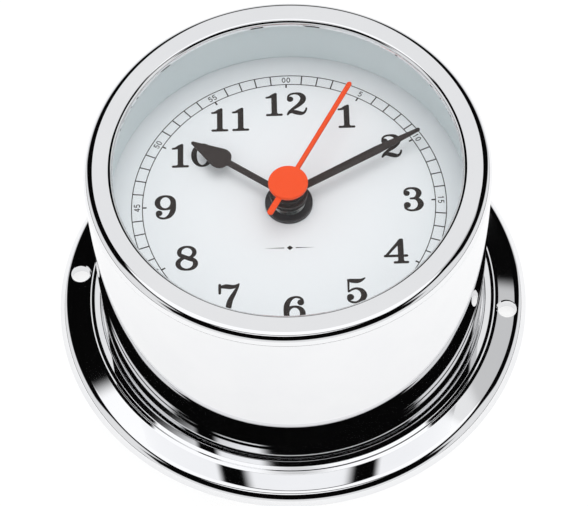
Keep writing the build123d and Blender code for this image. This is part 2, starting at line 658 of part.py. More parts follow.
with BuildPart() as movement_front:
    with BuildSketch(Plane.XY.offset(SPLIT)):
        RectangleRounded(MOVEMENT_SIDE, MOVEMENT_SIDE, MOVEMENT_WALL)
    extrude(amount=MOVEMENT_FRONT - SPLIT)
    with BuildSketch(Plane.XY.offset(SPLIT)):
        with Locations((0, TRAIN_FRONT + TRAIN_DEPTH / 2)):
            Rectangle(2 * INNER_HALF, TRAIN_DEPTH)
        with Locations((0, BAY_FRONT + BAY_DEPTH / 2)):
            Rectangle(2 * INNER_HALF, BAY_DEPTH)
    extrude(amount=CEILING - SPLIT, mode=Mode.SUBTRACT)
    with BuildSketch(Plane.XY.offset(CEILING)):
        Circle(BUSHING_RADIUS)
    extrude(amount=MOVEMENT_WALL, mode=Mode.SUBTRACT)
    with BuildSketch(Plane.XY.offset(CEILING)):
        with Locations(MOTION_AT):
            Circle(MOTION_POST_RADIUS)
    extrude(amount=MOVEMENT_WALL - PIVOT_SKIN, mode=Mode.SUBTRACT)
movement_front.part.label = "movement_front"
export_step(movement_front.part, "parts/movement_front.step")

with BuildPart() as middle_plate:
    plate_size = (2 * (INNER_HALF - MIDDLE_PLATE_GAP), TRAIN_DEPTH - 2 * MIDDLE_PLATE_GAP)
    with BuildSketch(Plane.XY.offset(MIDDLE_PLATE_BOTTOM)):
        with Locations((0, TRAIN_FRONT + TRAIN_DEPTH / 2)):
            Rectangle(*plate_size)
        with Locations(*POSTS_AT):
            Circle(SCREW_RADIUS, mode=Mode.SUBTRACT)
        for place in (INTERMEDIATE_AT, ROTOR_AT, THIRD_AT):
            with Locations(place):
                Circle(ARBOR_RADIUS + RUNNING_CLEARANCE, mode=Mode.SUBTRACT)
        Circle(CANNON_PIPE_RADIUS + RUNNING_CLEARANCE, mode=Mode.SUBTRACT)
        with Locations(SETTING_AT):
            Circle(SETTING_SHAFT_RADIUS + RUNNING_CLEARANCE, mode=Mode.SUBTRACT)
    extrude(amount=MIDDLE_PLATE_THICKNESS)
middle_plate.part.label = "middle_plate"
export_step(middle_plate.part, "parts/middle_plate.step")

with BuildPart() as movement_screws:
    with BuildSketch(Plane.XY.offset(MIDDLE_PLATE_TOP - SCREW_LENGTH)):
        with Locations(*POSTS_AT):
            Circle(SCREW_RADIUS)
    extrude(amount=SCREW_LENGTH)
    with BuildSketch(Plane.XY.offset(MIDDLE_PLATE_TOP)):
        with Locations(*POSTS_AT):
            Circle(SCREW_HEAD_RADIUS)
    extrude(amount=SCREW_HEAD_HEIGHT)
    with BuildSketch(Plane.XY.offset(MIDDLE_PLATE_TOP + SCREW_HEAD_HEIGHT - SLOT_DEPTH)):
        with Locations(*POSTS_AT):
            Rectangle(2 * SCREW_HEAD_RADIUS + OVERCUT, SLOT_WIDTH)
    extrude(amount=SLOT_DEPTH, mode=Mode.SUBTRACT)
movement_screws.part.label = "movement_screws"
export_step(movement_screws.part, "parts/movement_screws.step")

with BuildPart() as motion_post:
    with BuildSketch(Plane.XY.offset(MIDDLE_PLATE_TOP)):
        with Locations(MOTION_AT):
            Circle(MOTION_POST_RADIUS)
    extrude(amount=MOVEMENT_FRONT - PIVOT_SKIN - MIDDLE_PLATE_TOP)
motion_post.part.label = "motion_post"
export_step(motion_post.part, "parts/motion_post.step")

# ---------------------------------------------------------------- stepping motor, fixed pieces
# The stator is a U of soft iron: the coil's core bridges its arms and the rotor turns in its base.
WINDOW_HALF = COIL_LENGTH / 2 + WINDOW_GAP
STATOR_HALF = WINDOW_HALF + STATOR_ARM
STATOR_NEAR = ROTOR_AT[1] - STATOR_BASE_DEPTH / 2
STATOR_FAR = COIL_CENTRE[1] + COIL_CORE_WIDTH
WINDOW_NEAR = ROTOR_AT[1] + STATOR_BASE_DEPTH / 2

with BuildPart() as stator:
    with BuildSketch(Plane.XY.offset(STATOR_BOTTOM)):
        with Locations((ROTOR_AT[0], (STATOR_NEAR + STATOR_FAR) / 2)):
            Rectangle(2 * STATOR_HALF, STATOR_FAR - STATOR_NEAR)
        with Locations((ROTOR_AT[0], (WINDOW_NEAR + STATOR_FAR + OVERCUT) / 2)):
            Rectangle(2 * WINDOW_HALF, STATOR_FAR + OVERCUT - WINDOW_NEAR, mode=Mode.SUBTRACT)
        with Locations(ROTOR_AT):
            Circle(MAGNET_RADIUS + MAGNET_GAP, mode=Mode.SUBTRACT)
        notch_depth = STATOR_BASE_DEPTH / 2 - MAGNET_RADIUS - MAGNET_GAP - STATOR_NECK
        with Locations((ROTOR_AT[0], STATOR_NEAR), (ROTOR_AT[0], WINDOW_NEAR)):
            Rectangle(2 * notch_depth, 2 * notch_depth, mode=Mode.SUBTRACT)
    extrude(amount=STATOR_THICKNESS)
stator.part.label = "stator"
export_step(stator.part, "parts/stator.step")

core_plane = Plane(origin=(COIL_CENTRE[0], COIL_CENTRE[1], COIL_Z), x_dir=(0, 1, 0), z_dir=(1, 0, 0))

with BuildPart() as coil_core:
    with BuildSketch(core_plane.offset(-CORE_HALF_LENGTH)):
        Rectangle(COIL_CORE_WIDTH, COIL_CORE_THICKNESS)
    extrude(amount=2 * CORE_HALF_LENGTH)
coil_core.part.label = "coil_core"
export_step(coil_core.part, "parts/coil_core.step")

with BuildPart() as coil_bobbin:
    with BuildSketch(core_plane.offset(-COIL_LENGTH / 2)):
        Circle(COIL_TUBE_RADIUS)
    extrude(amount=COIL_LENGTH)
    for flange_start in (-COIL_LENGTH / 2, COIL_LENGTH / 2 - COIL_FLANGE_THICKNESS):
        with BuildSketch(core_plane.offset(flange_start)):
            Circle(COIL_FLANGE_RADIUS)
        extrude(amount=COIL_FLANGE_THICKNESS)
    with BuildSketch(core_plane.offset(-COIL_LENGTH / 2)):
        Rectangle(COIL_CORE_WIDTH, COIL_CORE_THICKNESS)
    extrude(amount=COIL_LENGTH, mode=Mode.SUBTRACT)
coil_bobbin.part.label = "coil_bobbin"
export_step(coil_bobbin.part, "parts/coil_bobbin.step")

with BuildPart() as coil_winding:
    winding_half = COIL_LENGTH / 2 - COIL_FLANGE_THICKNESS
    with BuildSketch(core_plane.offset(-winding_half)):
        Circle(COIL_WINDING_RADIUS)
        Circle(COIL_TUBE_RADIUS, mode=Mode.SUBTRACT)
    extrude(amount=2 * winding_half)
coil_winding.part.label = "coil_winding"
export_step(coil_winding.part, "parts/coil_winding.step")

# ---------------------------------------------------------------- circuit board and what is on it
BOARD_BOTTOM = FLOOR + BOARD_LIFT
BOARD_TOP = BOARD_BOTTOM + BOARD_THICKNESS

with BuildPart() as circuit_board:
    with BuildSketch(Plane.XY.offset(BOARD_BOTTOM)):
        with Locations(BOARD_CENTRE):
            Rectangle(*BOARD_SIZE)
    extrude(amount=BOARD_THICKNESS)
circuit_board.part.label = "circuit_board"
export_step(circuit_board.part, "parts/circuit_board.step")

with BuildPart() as driver_chip:
    with BuildSketch(Plane.XY.offset(BOARD_TOP)):
        with Locations((BOARD_CENTRE[0], BOARD_CENTRE[1] + CHIP_OFFSET)):
            Circle(CHIP_RADIUS)
    extrude(amount=CHIP_HEIGHT)
    fillet(driver_chip.edges().group_by(Axis.Z)[-1], CHIP_ROUNDING)
driver_chip.part.label = "driver_chip"
export_step(driver_chip.part, "parts/driver_chip.step")

with BuildPart() as quartz_crystal:
    crystal_start = (
        BOARD_CENTRE[0] - CRYSTAL_LENGTH / 2,
        BOARD_CENTRE[1] + CRYSTAL_OFFSET,
        BOARD_TOP + CRYSTAL_RADIUS,
    )
    with BuildSketch(Plane(origin=crystal_start, z_dir=(1, 0, 0))):
        Circle(CRYSTAL_RADIUS)
    extrude(amount=CRYSTAL_LENGTH)
quartz_crystal.part.label = "quartz_crystal"
export_step(quartz_crystal.part, "parts/quartz_crystal.step")

# ---------------------------------------------------------------- battery and its contacts
BATTERY_HALF = BATTERY_LENGTH / 2
battery_axis = Plane(origin=(0, BATTERY_Y, BATTERY_Z), x_dir=(0, 1, 0), z_dir=(1, 0, 0))

with BuildPart() as battery_cell:
    with BuildSketch(battery_axis.offset(-BATTERY_HALF)):
        Circle(BATTERY_RADIUS)
    extrude(amount=BATTERY_LENGTH - BATTERY_NUB_LENGTH)
    with BuildSketch(battery_axis.offset(BATTERY_HALF - BATTERY_NUB_LENGTH)):
        Circle(BATTERY_NUB_RADIUS)
    extrude(amount=BATTERY_NUB_LENGTH)
battery_cell.part.label = "battery_cell"
export_step(battery_cell.part, "parts/battery_cell.step")

contact_plate = (CONTACT_WIDTH, CONTACT_WIDTH)
bump_height = INNER_HALF - CONTACT_THICKNESS - BATTERY_HALF - CONTACT_GAP

with BuildPart() as positive_contact:
    with BuildSketch(battery_axis.offset(INNER_HALF - CONTACT_THICKNESS)):
        Rectangle(*contact_plate)
    extrude(amount=CONTACT_THICKNESS)
    with BuildSketch(battery_axis.offset(INNER_HALF - CONTACT_THICKNESS - bump_height)):
        Circle(CONTACT_BUMP_RADIUS)
    extrude(amount=bump_height)
positive_contact.part.label = "positive_contact"
export_step(positive_contact.part, "parts/positive_contact.step")

with BuildPart() as negative_contact:
    with BuildSketch(battery_axis.offset(-INNER_HALF)):
        Rectangle(*contact_plate)
    extrude(amount=CONTACT_THICKNESS)
    with BuildSketch(battery_axis.offset(-INNER_HALF + CONTACT_THICKNESS)):
        Circle(CONTACT_BUMP_RADIUS)
    extrude(amount=bump_height)
negative_contact.part.label = "negative_contact"
export_step(negative_contact.part, "parts/negative_contact.step")

# ---------------------------------------------------------------- train: rotor to centre wheel
ARBOR_BOTTOM = MOVEMENT_BACK + PIVOT_SKIN + ARBOR_END_SHAKE
MAGNET_BOTTOM = STATOR_BOTTOM + STATOR_THICKNESS / 2 - MAGNET_HEIGHT / 2
WHEEL_BORE = ARBOR_RADIUS
CENTRE_TUBE_BORE = SECOND_ARBOR_RADIUS + RUNNING_CLEARANCE
CANNON_BOTTOM = CANNON_Z - PINION_THICKNESS / 2

with BuildPart() as rotor_pinion:
    with BuildSketch(level(ROTOR_AT, INTERMEDIATE_Z - PINION_THICKNESS / 2)):
        with BuildLine():
            Polyline(*gear_points(ROTOR_LEAVES, ROTOR_MODULE, ROTOR_PHASE), close=True)
        make_face()
    extrude(amount=PINION_THICKNESS)
    with BuildSketch(level(ROTOR_AT, ARBOR_BOTTOM)):
        Circle(ARBOR_RADIUS)
    extrude(amount=MIDDLE_PLATE_TOP - ARBOR_BOTTOM)
rotor_pinion.part.label = "rotor_pinion"
export_step(rotor_pinion.part, "parts/rotor_pinion.step")

with BuildPart() as rotor_magnet:
    with BuildSketch(level(ROTOR_AT, MAGNET_BOTTOM)):
        Circle(MAGNET_RADIUS)
        Circle(ARBOR_RADIUS, mode=Mode.SUBTRACT)
    extrude(amount=MAGNET_HEIGHT)
rotor_magnet.part.label = "rotor_magnet"
export_step(rotor_magnet.part, "parts/rotor_magnet.step")

with BuildPart() as intermediate_wheel:
    with BuildSketch(level(INTERMEDIATE_AT, INTERMEDIATE_Z - WHEEL_THICKNESS / 2)):
        with BuildLine():
            Polyline(
                *gear_points(INTERMEDIATE_TEETH, ROTOR_MODULE, INTERMEDIATE_WHEEL_PHASE), close=True
            )
        make_face()
        Circle(WHEEL_BORE, mode=Mode.SUBTRACT)
    extrude(amount=WHEEL_THICKNESS)
intermediate_wheel.part.label = "intermediate_wheel"
export_step(intermediate_wheel.part, "parts/intermediate_wheel.step")

with BuildPart() as intermediate_pinion:
    with BuildSketch(level(INTERMEDIATE_AT, SECONDS_Z - PINION_THICKNESS / 2)):
        with BuildLine():
            Polyline(
                *gear_points(INTERMEDIATE_LEAVES, INTERMEDIATE_MODULE, INTERMEDIATE_PINION_PHASE),
                close=True,
            )
        make_face()
    extrude(amount=PINION_THICKNESS)
    with BuildSketch(level(INTERMEDIATE_AT, ARBOR_BOTTOM)):
        Circle(ARBOR_RADIUS)
    extrude(amount=MIDDLE_PLATE_TOP - ARBOR_BOTTOM)
intermediate_pinion.part.label = "intermediate_pinion"
export_step(intermediate_pinion.part, "parts/intermediate_pinion.step")

with BuildPart() as seconds_wheel:
    with BuildSketch(level((0, 0), SECONDS_Z - WHEEL_THICKNESS / 2)):
        with BuildLine():
            Polyline(
                *gear_points(SECONDS_TEETH, INTERMEDIATE_MODULE, SECONDS_WHEEL_PHASE), close=True
            )
        make_face()
        Circle(SECOND_ARBOR_RADIUS, mode=Mode.SUBTRACT)
    extrude(amount=WHEEL_THICKNESS)
seconds_wheel.part.label = "seconds_wheel"
export_step(seconds_wheel.part, "parts/seconds_wheel.step")

with BuildPart() as seconds_arbor:
    with BuildSketch(level((0, 0), THIRD_Z - PINION_THICKNESS / 2)):
        with BuildLine():
            Polyline(*gear_points(SECONDS_LEAVES, SECONDS_MODULE, SECONDS_PINION_PHASE), close=True)
        make_face()
    extrude(amount=PINION_THICKNESS)
    with BuildSketch(level((0, 0), ARBOR_BOTTOM)):
        Circle(SECOND_ARBOR_RADIUS)
    extrude(amount=SECOND_BLADE + SECOND_BOSS_THICKNESS / 2 - ARBOR_BOTTOM)
seconds_arbor.part.label = "seconds_arbor"
export_step(seconds_arbor.part, "parts/seconds_arbor.step")

with BuildPart() as third_wheel:
    with BuildSketch(level(THIRD_AT, THIRD_Z - WHEEL_THICKNESS / 2)):
        with BuildLine():
            Polyline(*gear_points(THIRD_TEETH, SECONDS_MODULE, THIRD_WHEEL_PHASE), close=True)
        make_face()
        Circle(WHEEL_BORE, mode=Mode.SUBTRACT)
    extrude(amount=WHEEL_THICKNESS)
third_wheel.part.label = "third_wheel"
export_step(third_wheel.part, "parts/third_wheel.step")

with BuildPart() as third_pinion:
    with BuildSketch(level(THIRD_AT, CENTRE_Z - PINION_THICKNESS / 2)):
        with BuildLine():
            Polyline(*gear_points(THIRD_LEAVES, CENTRE_MODULE, THIRD_PINION_PHASE), close=True)
        make_face()
    extrude(amount=PINION_THICKNESS)
    with BuildSketch(level(THIRD_AT, ARBOR_BOTTOM)):
        Circle(ARBOR_RADIUS)
    extrude(amount=MIDDLE_PLATE_TOP - ARBOR_BOTTOM)
third_pinion.part.label = "third_pinion"
export_step(third_pinion.part, "parts/third_pinion.step")

# The centre wheel turns on the seconds arbor and drives the cannon pinion by friction.
with BuildPart() as centre_wheel:
    with BuildSketch(level((0, 0), CENTRE_Z - WHEEL_THICKNESS / 2)):
        with BuildLine():
            Polyline(*gear_points(CENTRE_TEETH, CENTRE_MODULE, CENTRE_PHASE), close=True)
        make_face()
    extrude(amount=WHEEL_THICKNESS)
    with BuildSketch(level((0, 0), CENTRE_Z)):
        Circle(CANNON_PIPE_RADIUS)
    extrude(amount=CANNON_BOTTOM - RUNNING_CLEARANCE - CENTRE_Z)
    with BuildSketch(level((0, 0), CENTRE_Z - WHEEL_THICKNESS / 2)):
        Circle(CENTRE_TUBE_BORE)
    extrude(amount=CANNON_BOTTOM - CENTRE_Z + WHEEL_THICKNESS, mode=Mode.SUBTRACT)
centre_wheel.part.label = "centre_wheel"
export_step(centre_wheel.part, "parts/centre_wheel.step")

# ---------------------------------------------------------------- motion work and setting
with BuildPart() as cannon_pinion:
    with BuildSketch(level((0, 0), CANNON_BOTTOM)):
        with BuildLine():
            Polyline(*gear_points(CANNON_LEAVES, MOTION_MODULE, CANNON_PHASE), close=True)
        make_face()
    extrude(amount=PINION_THICKNESS)
    with BuildSketch(level((0, 0), CANNON_Z)):
        Circle(CANNON_PIPE_RADIUS)
    extrude(amount=MINUTE_BLADE + MINUTE_DISC_THICKNESS - CANNON_Z)
    with BuildSketch(level((0, 0), CANNON_BOTTOM)):
        Circle(CENTRE_TUBE_BORE)
    extrude(amount=MINUTE_BLADE + MINUTE_DISC_THICKNESS - CANNON_BOTTOM, mode=Mode.SUBTRACT)
cannon_pinion.part.label = "cannon_pinion"
export_step(cannon_pinion.part, "parts/cannon_pinion.step")

with BuildPart() as motion_wheel:
    with BuildSketch(level(MOTION_AT, CANNON_Z - WHEEL_THICKNESS / 2)):
        with BuildLine():
            Polyline(*gear_points(MOTION_TEETH, MOTION_MODULE, MOTION_WHEEL_PHASE), close=True)
        make_face()
    extrude(amount=WHEEL_THICKNESS)
    pinion_top = HOUR_Z + PINION_THICKNESS / 2
    with BuildSketch(level(MOTION_AT, CANNON_Z)):
        with BuildLine():
            Polyline(*gear_points(MOTION_LEAVES, HOUR_MODULE, MOTION_PINION_PHASE), close=True)
        make_face()
    extrude(amount=pinion_top - CANNON_Z)
    with BuildSketch(level(MOTION_AT, CANNON_Z - WHEEL_THICKNESS)):
        Circle(MOTION_POST_RADIUS + RUNNING_CLEARANCE)
    extrude(amount=pinion_top - CANNON_Z + WHEEL_THICKNESS, mode=Mode.SUBTRACT)
motion_wheel.part.label = "motion_wheel"
export_step(motion_wheel.part, "parts/motion_wheel.step")

with BuildPart() as hour_wheel:
    hour_wheel_bottom = HOUR_Z - WHEEL_THICKNESS / 2
    with BuildSketch(level((0, 0), hour_wheel_bottom)):
        with BuildLine():
            Polyline(*gear_points(HOUR_TEETH, HOUR_MODULE, HOUR_PHASE), close=True)
        make_face()
    extrude(amount=WHEEL_THICKNESS)
    with BuildSketch(level((0, 0), HOUR_Z)):
        Circle(HOUR_PIPE_RADIUS)
    extrude(amount=HOUR_BLADE + BLADE_THICKNESS - HOUR_Z)
    with BuildSketch(level((0, 0), hour_wheel_bottom)):
        Circle(CANNON_PIPE_RADIUS + RUNNING_CLEARANCE)
    extrude(amount=HOUR_BLADE + BLADE_THICKNESS - hour_wheel_bottom, mode=Mode.SUBTRACT)
hour_wheel.part.label = "hour_wheel"
export_step(hour_wheel.part, "parts/hour_wheel.step")

KNOB_TOP = MOVEMENT_BACK - KNOB_GAP
KNOB_BOTTOM = KNOB_TOP - KNOB_HEIGHT

with BuildPart() as setting_shaft:
    with BuildSketch(level(SETTING_AT, CANNON_Z - PINION_THICKNESS / 2)):
        with BuildLine():
            Polyline(*gear_points(SETTING_LEAVES, MOTION_MODULE, SETTING_PHASE), close=True)
        make_face()
    extrude(amount=PINION_THICKNESS)
    with BuildSketch(level(SETTING_AT, KNOB_BOTTOM + KNOB_FLOOR)):
        Circle(SETTING_SHAFT_RADIUS)
    extrude(amount=CANNON_Z + PINION_THICKNESS - KNOB_BOTTOM - KNOB_FLOOR)
setting_shaft.part.label = "setting_shaft"
export_step(setting_shaft.part, "parts/setting_shaft.step")

with BuildPart() as setting_knob:
    with BuildSketch(level(SETTING_AT, KNOB_BOTTOM)):
        Circle(KNOB_RADIUS)
        with PolarLocations(KNOB_RADIUS, KNOB_GROOVES):
            Circle(KNOB_GROOVE_RADIUS, mode=Mode.SUBTRACT)
    extrude(amount=KNOB_HEIGHT)
    with BuildSketch(level(SETTING_AT, KNOB_BOTTOM + KNOB_FLOOR)):
        Circle(SETTING_SHAFT_RADIUS)
    extrude(amount=KNOB_HEIGHT, mode=Mode.SUBTRACT)
setting_knob.part.label = "setting_knob"
export_step(setting_knob.part, "parts/setting_knob.step")

# ---------------------------------------------------------------- hands
# Each outline is drawn for one side, along the hand, and mirrored.
with BuildPart() as hour_hand:
    with BuildSketch(hand_plane(HOUR_BLADE, HOUR_CLOCK_ANGLE)):
        with BuildLine():
            shoulder = (
                HOUR_NECK + (HOUR_WIDEST - HOUR_NECK) * HOUR_SHOULDER_ALONG,
                HOUR_HALF_WIDEST * HOUR_SHOULDER_OUT,
            )
            Polyline((0, 0), (0, HOUR_HALF_SHAFT), (HOUR_NECK, HOUR_HALF_SHAFT))
            ThreePointArc((HOUR_NECK, HOUR_HALF_SHAFT), shoulder, (HOUR_WIDEST, HOUR_HALF_WIDEST))
            Line((HOUR_WIDEST, HOUR_HALF_WIDEST), (HOUR_TIP - HOUR_HALF_TIP, HOUR_HALF_TIP))
            RadiusArc((HOUR_TIP - HOUR_HALF_TIP, HOUR_HALF_TIP), (HOUR_TIP, 0), HOUR_HALF_TIP)
            Line((HOUR_TIP, 0), (0, 0))
        make_face()
        mirror(about=Plane.XZ)
        Circle(HOUR_DISC_RADIUS)
        Circle(HOUR_PIPE_RADIUS, mode=Mode.SUBTRACT)
    extrude(amount=BLADE_THICKNESS)
hour_hand.part.label = "hour_hand"
export_step(hour_hand.part, "parts/hour_hand.step")

with BuildPart() as minute_hand:
    minute_plane = hand_plane(MINUTE_BLADE, MINUTE_CLOCK_ANGLE)
    with BuildSketch(minute_plane):
        with BuildLine():
            Polyline(
                (0, 0),
                (0, MINUTE_HALF_SHAFT),
                (MINUTE_WIDEST, MINUTE_HALF_WIDEST),
                (MINUTE_TIP - MINUTE_HALF_TIP, MINUTE_HALF_TIP),
            )
            RadiusArc((MINUTE_TIP - MINUTE_HALF_TIP, MINUTE_HALF_TIP), (MINUTE_TIP, 0), MINUTE_HALF_TIP)
            Line((MINUTE_TIP, 0), (0, 0))
        make_face()
        mirror(about=Plane.XZ)
    extrude(amount=BLADE_THICKNESS)
    with BuildSketch(minute_plane):
        Circle(MINUTE_DISC_RADIUS)
    extrude(amount=MINUTE_DISC_THICKNESS)
    with BuildSketch(minute_plane.offset(MINUTE_DISC_THICKNESS)):
        Circle(MINUTE_CAP_RADIUS)
    extrude(amount=MINUTE_CAP_THICKNESS)
    with BuildSketch(minute_plane):
        Circle(CANNON_PIPE_RADIUS)
    extrude(amount=MINUTE_DISC_THICKNESS, mode=Mode.SUBTRACT)
    with BuildSketch(minute_plane):
        Circle(SECOND_ARBOR_RADIUS + RUNNING_CLEARANCE)
    extrude(amount=MINUTE_DISC_THICKNESS + MINUTE_CAP_THICKNESS, mode=Mode.SUBTRACT)
minute_hand.part.label = "minute_hand"
export_step(minute_hand.part, "parts/minute_hand.step")

with BuildPart() as second_hand:
    second_plane = hand_plane(SECOND_BLADE, SECOND_CLOCK_ANGLE)
    with BuildSketch(second_plane):
        with BuildLine():
            Polyline((0, 0), (0, SECOND_HALF_WIDTH), (SECOND_TIP - SECOND_HALF_WIDTH, SECOND_HALF_WIDTH))
            RadiusArc(
                (SECOND_TIP - SECOND_HALF_WIDTH, SECOND_HALF_WIDTH), (SECOND_TIP, 0), SECOND_HALF_WIDTH
            )
            Line((SECOND_TIP, 0), (0, 0))
        make_face()
        with BuildLine():
            tail_corner = (-SECOND_TAIL + SECOND_HALF_TAIL, SECOND_HALF_TAIL)
            Polyline((0, 0), (0, SECOND_HALF_TAIL), tail_corner)
            RadiusArc(tail_corner, (-SECOND_TAIL, 0), -SECOND_HALF_TAIL)
            Line((-SECOND_TAIL, 0), (0, 0))
        make_face()
        mirror(about=Plane.XZ)
    extrude(amount=BLADE_THICKNESS)
    with BuildSketch(second_plane):
        Circle(SECOND_BOSS_RADIUS)
    extrude(amount=SECOND_BOSS_THICKNESS)
    with BuildSketch(second_plane.offset(-SECOND_COLLET_DEPTH)):
        Circle(SECOND_COLLET_RADIUS)
    extrude(amount=SECOND_COLLET_DEPTH)
    with BuildSketch(second_plane.offset(-SECOND_COLLET_DEPTH)):
        Circle(SECOND_ARBOR_RADIUS)
    extrude(amount=SECOND_COLLET_DEPTH + SECOND_BOSS_THICKNESS / 2, mode=Mode.SUBTRACT)
second_hand.part.label = "second_hand"
export_step(second_hand.part, "parts/second_hand.step")
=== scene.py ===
import json
import math

import bmesh
import bpy
import numpy as np
from mathutils import Matrix, Vector
from mathutils.geometry import delaunay_2d_cdt


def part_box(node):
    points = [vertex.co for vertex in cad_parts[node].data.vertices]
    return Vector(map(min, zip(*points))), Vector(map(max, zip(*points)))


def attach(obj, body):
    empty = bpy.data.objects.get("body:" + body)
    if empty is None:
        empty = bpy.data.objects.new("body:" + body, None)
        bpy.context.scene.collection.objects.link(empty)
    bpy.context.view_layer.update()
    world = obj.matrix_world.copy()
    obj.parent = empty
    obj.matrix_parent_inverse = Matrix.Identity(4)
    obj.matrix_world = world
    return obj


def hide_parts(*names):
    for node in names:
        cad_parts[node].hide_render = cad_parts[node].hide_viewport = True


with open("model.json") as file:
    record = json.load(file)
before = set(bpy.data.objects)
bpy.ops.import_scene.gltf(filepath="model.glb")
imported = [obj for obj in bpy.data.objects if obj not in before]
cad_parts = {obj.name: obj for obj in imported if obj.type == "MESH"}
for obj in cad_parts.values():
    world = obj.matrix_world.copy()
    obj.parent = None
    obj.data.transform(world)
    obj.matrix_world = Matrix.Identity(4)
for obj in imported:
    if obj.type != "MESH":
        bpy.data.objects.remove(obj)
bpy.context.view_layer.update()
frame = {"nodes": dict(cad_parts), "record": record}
record = frame["record"]

# The ship's deck clock lies on its back, and +Z points out through its glass.
# MM turns millimetres into metres.
MM = 0.001

# ---------------------------------------------------------------- sizes, read from the frame


def reach(node):
    """The outer radius of a node that is round about the arbor axis."""
    low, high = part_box(node)
    return (high.x - low.x) / 2


def top(node):
    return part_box(node)[1].z


def bottom(node):
    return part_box(node)[0].z


CASE_RADIUS = reach("bezel")
BASE_RADIUS = reach("base_ring")
CLOCK_TOP = top("bezel")
SKIRT_BOTTOM = bottom("bezel")
CASE_TOP = top("case_body")
CASE_BOTTOM = bottom("case_body")
SPIGOT_TOP = top("base_ring")
LIP_UNDERSIDE = top("glass_gasket")
GLASS_BOTTOM = bottom("glass")
DIAL_TOP = top("dial")
DIAL_BACK = bottom("dial")
SPACER_RADIUS = reach("dial_spacer")
NUT_RADIUS = reach("hub_nut")

# Walls, gaps and reaches that the frame's boxes don't show.
CASE_WALL = 2.4 * MM
SKIRT_WALL = 1.1 * MM
BEZEL_REACH = 7.1 * MM
BEZEL_ROUNDING = 2.4
LIP_ROUNDING = 1.2
SHOULDER_REACH = 2.8 * MM
SHOULDER_THICKNESS = 1.5 * MM
SPACER_WALL = 2.3 * MM
SPACER_GROOVE = 0.5 * MM
INK_CLEARANCE = 0.02 * MM
SPIGOT_GAP = 0.3 * MM
SPIGOT_WALL = 2.5 * MM
BASE_FLOOR = 1.2 * MM
COLLAR_GAP = 0.3 * MM
COLLAR_WALL = 2.0 * MM
COLLAR_TOP = 3.5 * MM
COLLAR_EASE = 0.5 * MM
STEP_WIDTH = 0.75 * MM
STEP_DROP = 0.25 * MM
LEDGE_WIDTH = 0.35 * MM
PAD_OUTER_HEIGHT = 2.7 * MM
SIDE_LEAN = 1.5 * MM
EDGE_ROUNDING = 3.0
HOLE_RADIUS = 2.4 * MM
HOLE_FROM_EDGE = 4.8 * MM
PIN_HEIGHT = 6.5 * MM
PIN_DIRECTIONS = (90, 210, 330)
SLOT_HALF = 1.6 * MM
TWIST_TO_LOCK = 7.4
TWIST_TO_RELEASE = 17.6

CASE_BORE = CASE_RADIUS - CASE_WALL
SKIRT_RADIUS = CASE_BORE + SKIRT_WALL
LIP_RADIUS = CASE_RADIUS - BEZEL_REACH
SHOULDER_BORE = CASE_BORE - SHOULDER_REACH
SPACER_BORE = SPACER_RADIUS - SPACER_WALL
SPIGOT_RADIUS = CASE_BORE - SPIGOT_GAP
SPIGOT_BORE = SPIGOT_RADIUS - SPIGOT_WALL
COLLAR_INNER = CASE_RADIUS + COLLAR_GAP
COLLAR_OUTER = COLLAR_INNER + COLLAR_WALL
LEDGE_HEIGHT = COLLAR_TOP - STEP_DROP
PAD_INNER = COLLAR_OUTER + 2 * STEP_WIDTH + LEDGE_WIDTH
PAD_INNER_HEIGHT = LEDGE_HEIGHT - STEP_DROP
HOLE_DISTANCE = BASE_RADIUS - HOLE_FROM_EDGE

# ---------------------------------------------------------------- materials


class Nodes:
    """A short way to write a node tree."""

    def __init__(self, tree):
        self.tree = tree

    def add(self, kind, inputs=(), **settings):
        node = self.tree.nodes.new(kind)
        for name, value in settings.items():
            setattr(node, name, value)
        for name, value in dict(inputs).items():
            if isinstance(value, bpy.types.NodeSocket):
                self.tree.links.new(value, node.inputs[name])
            else:
                node.inputs[name].default_value = value
        return node

    def math(self, operation, first, second=0.0, third=0.0):
        return self.add("ShaderNodeMath", {0: first, 1: second, 2: third}, operation=operation).outputs[0]

    def step(self, value, start, end):
        """0 before start and 1 after end, with a smooth rise between them."""
        inputs = {"Value": value, "From Min": start, "From Max": end}
        return self.add("ShaderNodeMapRange", inputs, interpolation_type="SMOOTHSTEP").outputs[0]

    def noise(self, scale, detail, vector, roughness=0.5):
        inputs = {"Scale": scale, "Detail": detail, "Roughness": roughness, "Vector": vector}
        return self.add("ShaderNodeTexNoise", inputs).outputs["Fac"]

    def tint(self, factor, first, second):
        node = self.add("ShaderNodeMix", data_type="RGBA")
        self.tree.links.new(factor, node.inputs["Factor"])
        for socket, colour in zip([s for s in node.inputs if s.type == "RGBA"], (first, second)):
            socket.default_value = (*colour, 1)
        return [s for s in node.outputs if s.type == "RGBA"][0]


def surface(name, **plain):
    """A material with one Principled shader, whose plain values are set on its own sockets."""
    material = bpy.data.materials.new(name)
    material.use_nodes = True
    nodes = Nodes(material.node_tree)
    shader = material.node_tree.nodes["Principled BSDF"]
    for socket, value in plain.items():
        shader.inputs[socket.replace("_", " ")].default_value = value
    point = nodes.add("ShaderNodeTexCoord").outputs["Object"]
    return material, nodes, shader, point


def drive(nodes, shader, colour=None, roughness=None, height=None, strength=0.3, depth=0.01):
    """Links a colour, a roughness and a bump height, whose depth is in millimetres."""
    if colour is not None:
        nodes.tree.links.new(colour, shader.inputs["Base Color"])
    if roughness is not None:
        nodes.tree.links.new(roughness, shader.inputs["Roughness"])
    if height is not None:
        inputs = {"Height": height, "Strength": strength, "Distance": depth * MM}
        bump = nodes.add("ShaderNodeBump", inputs)
        nodes.tree.links.new(bump.outputs["Normal"], shader.inputs["Normal"])


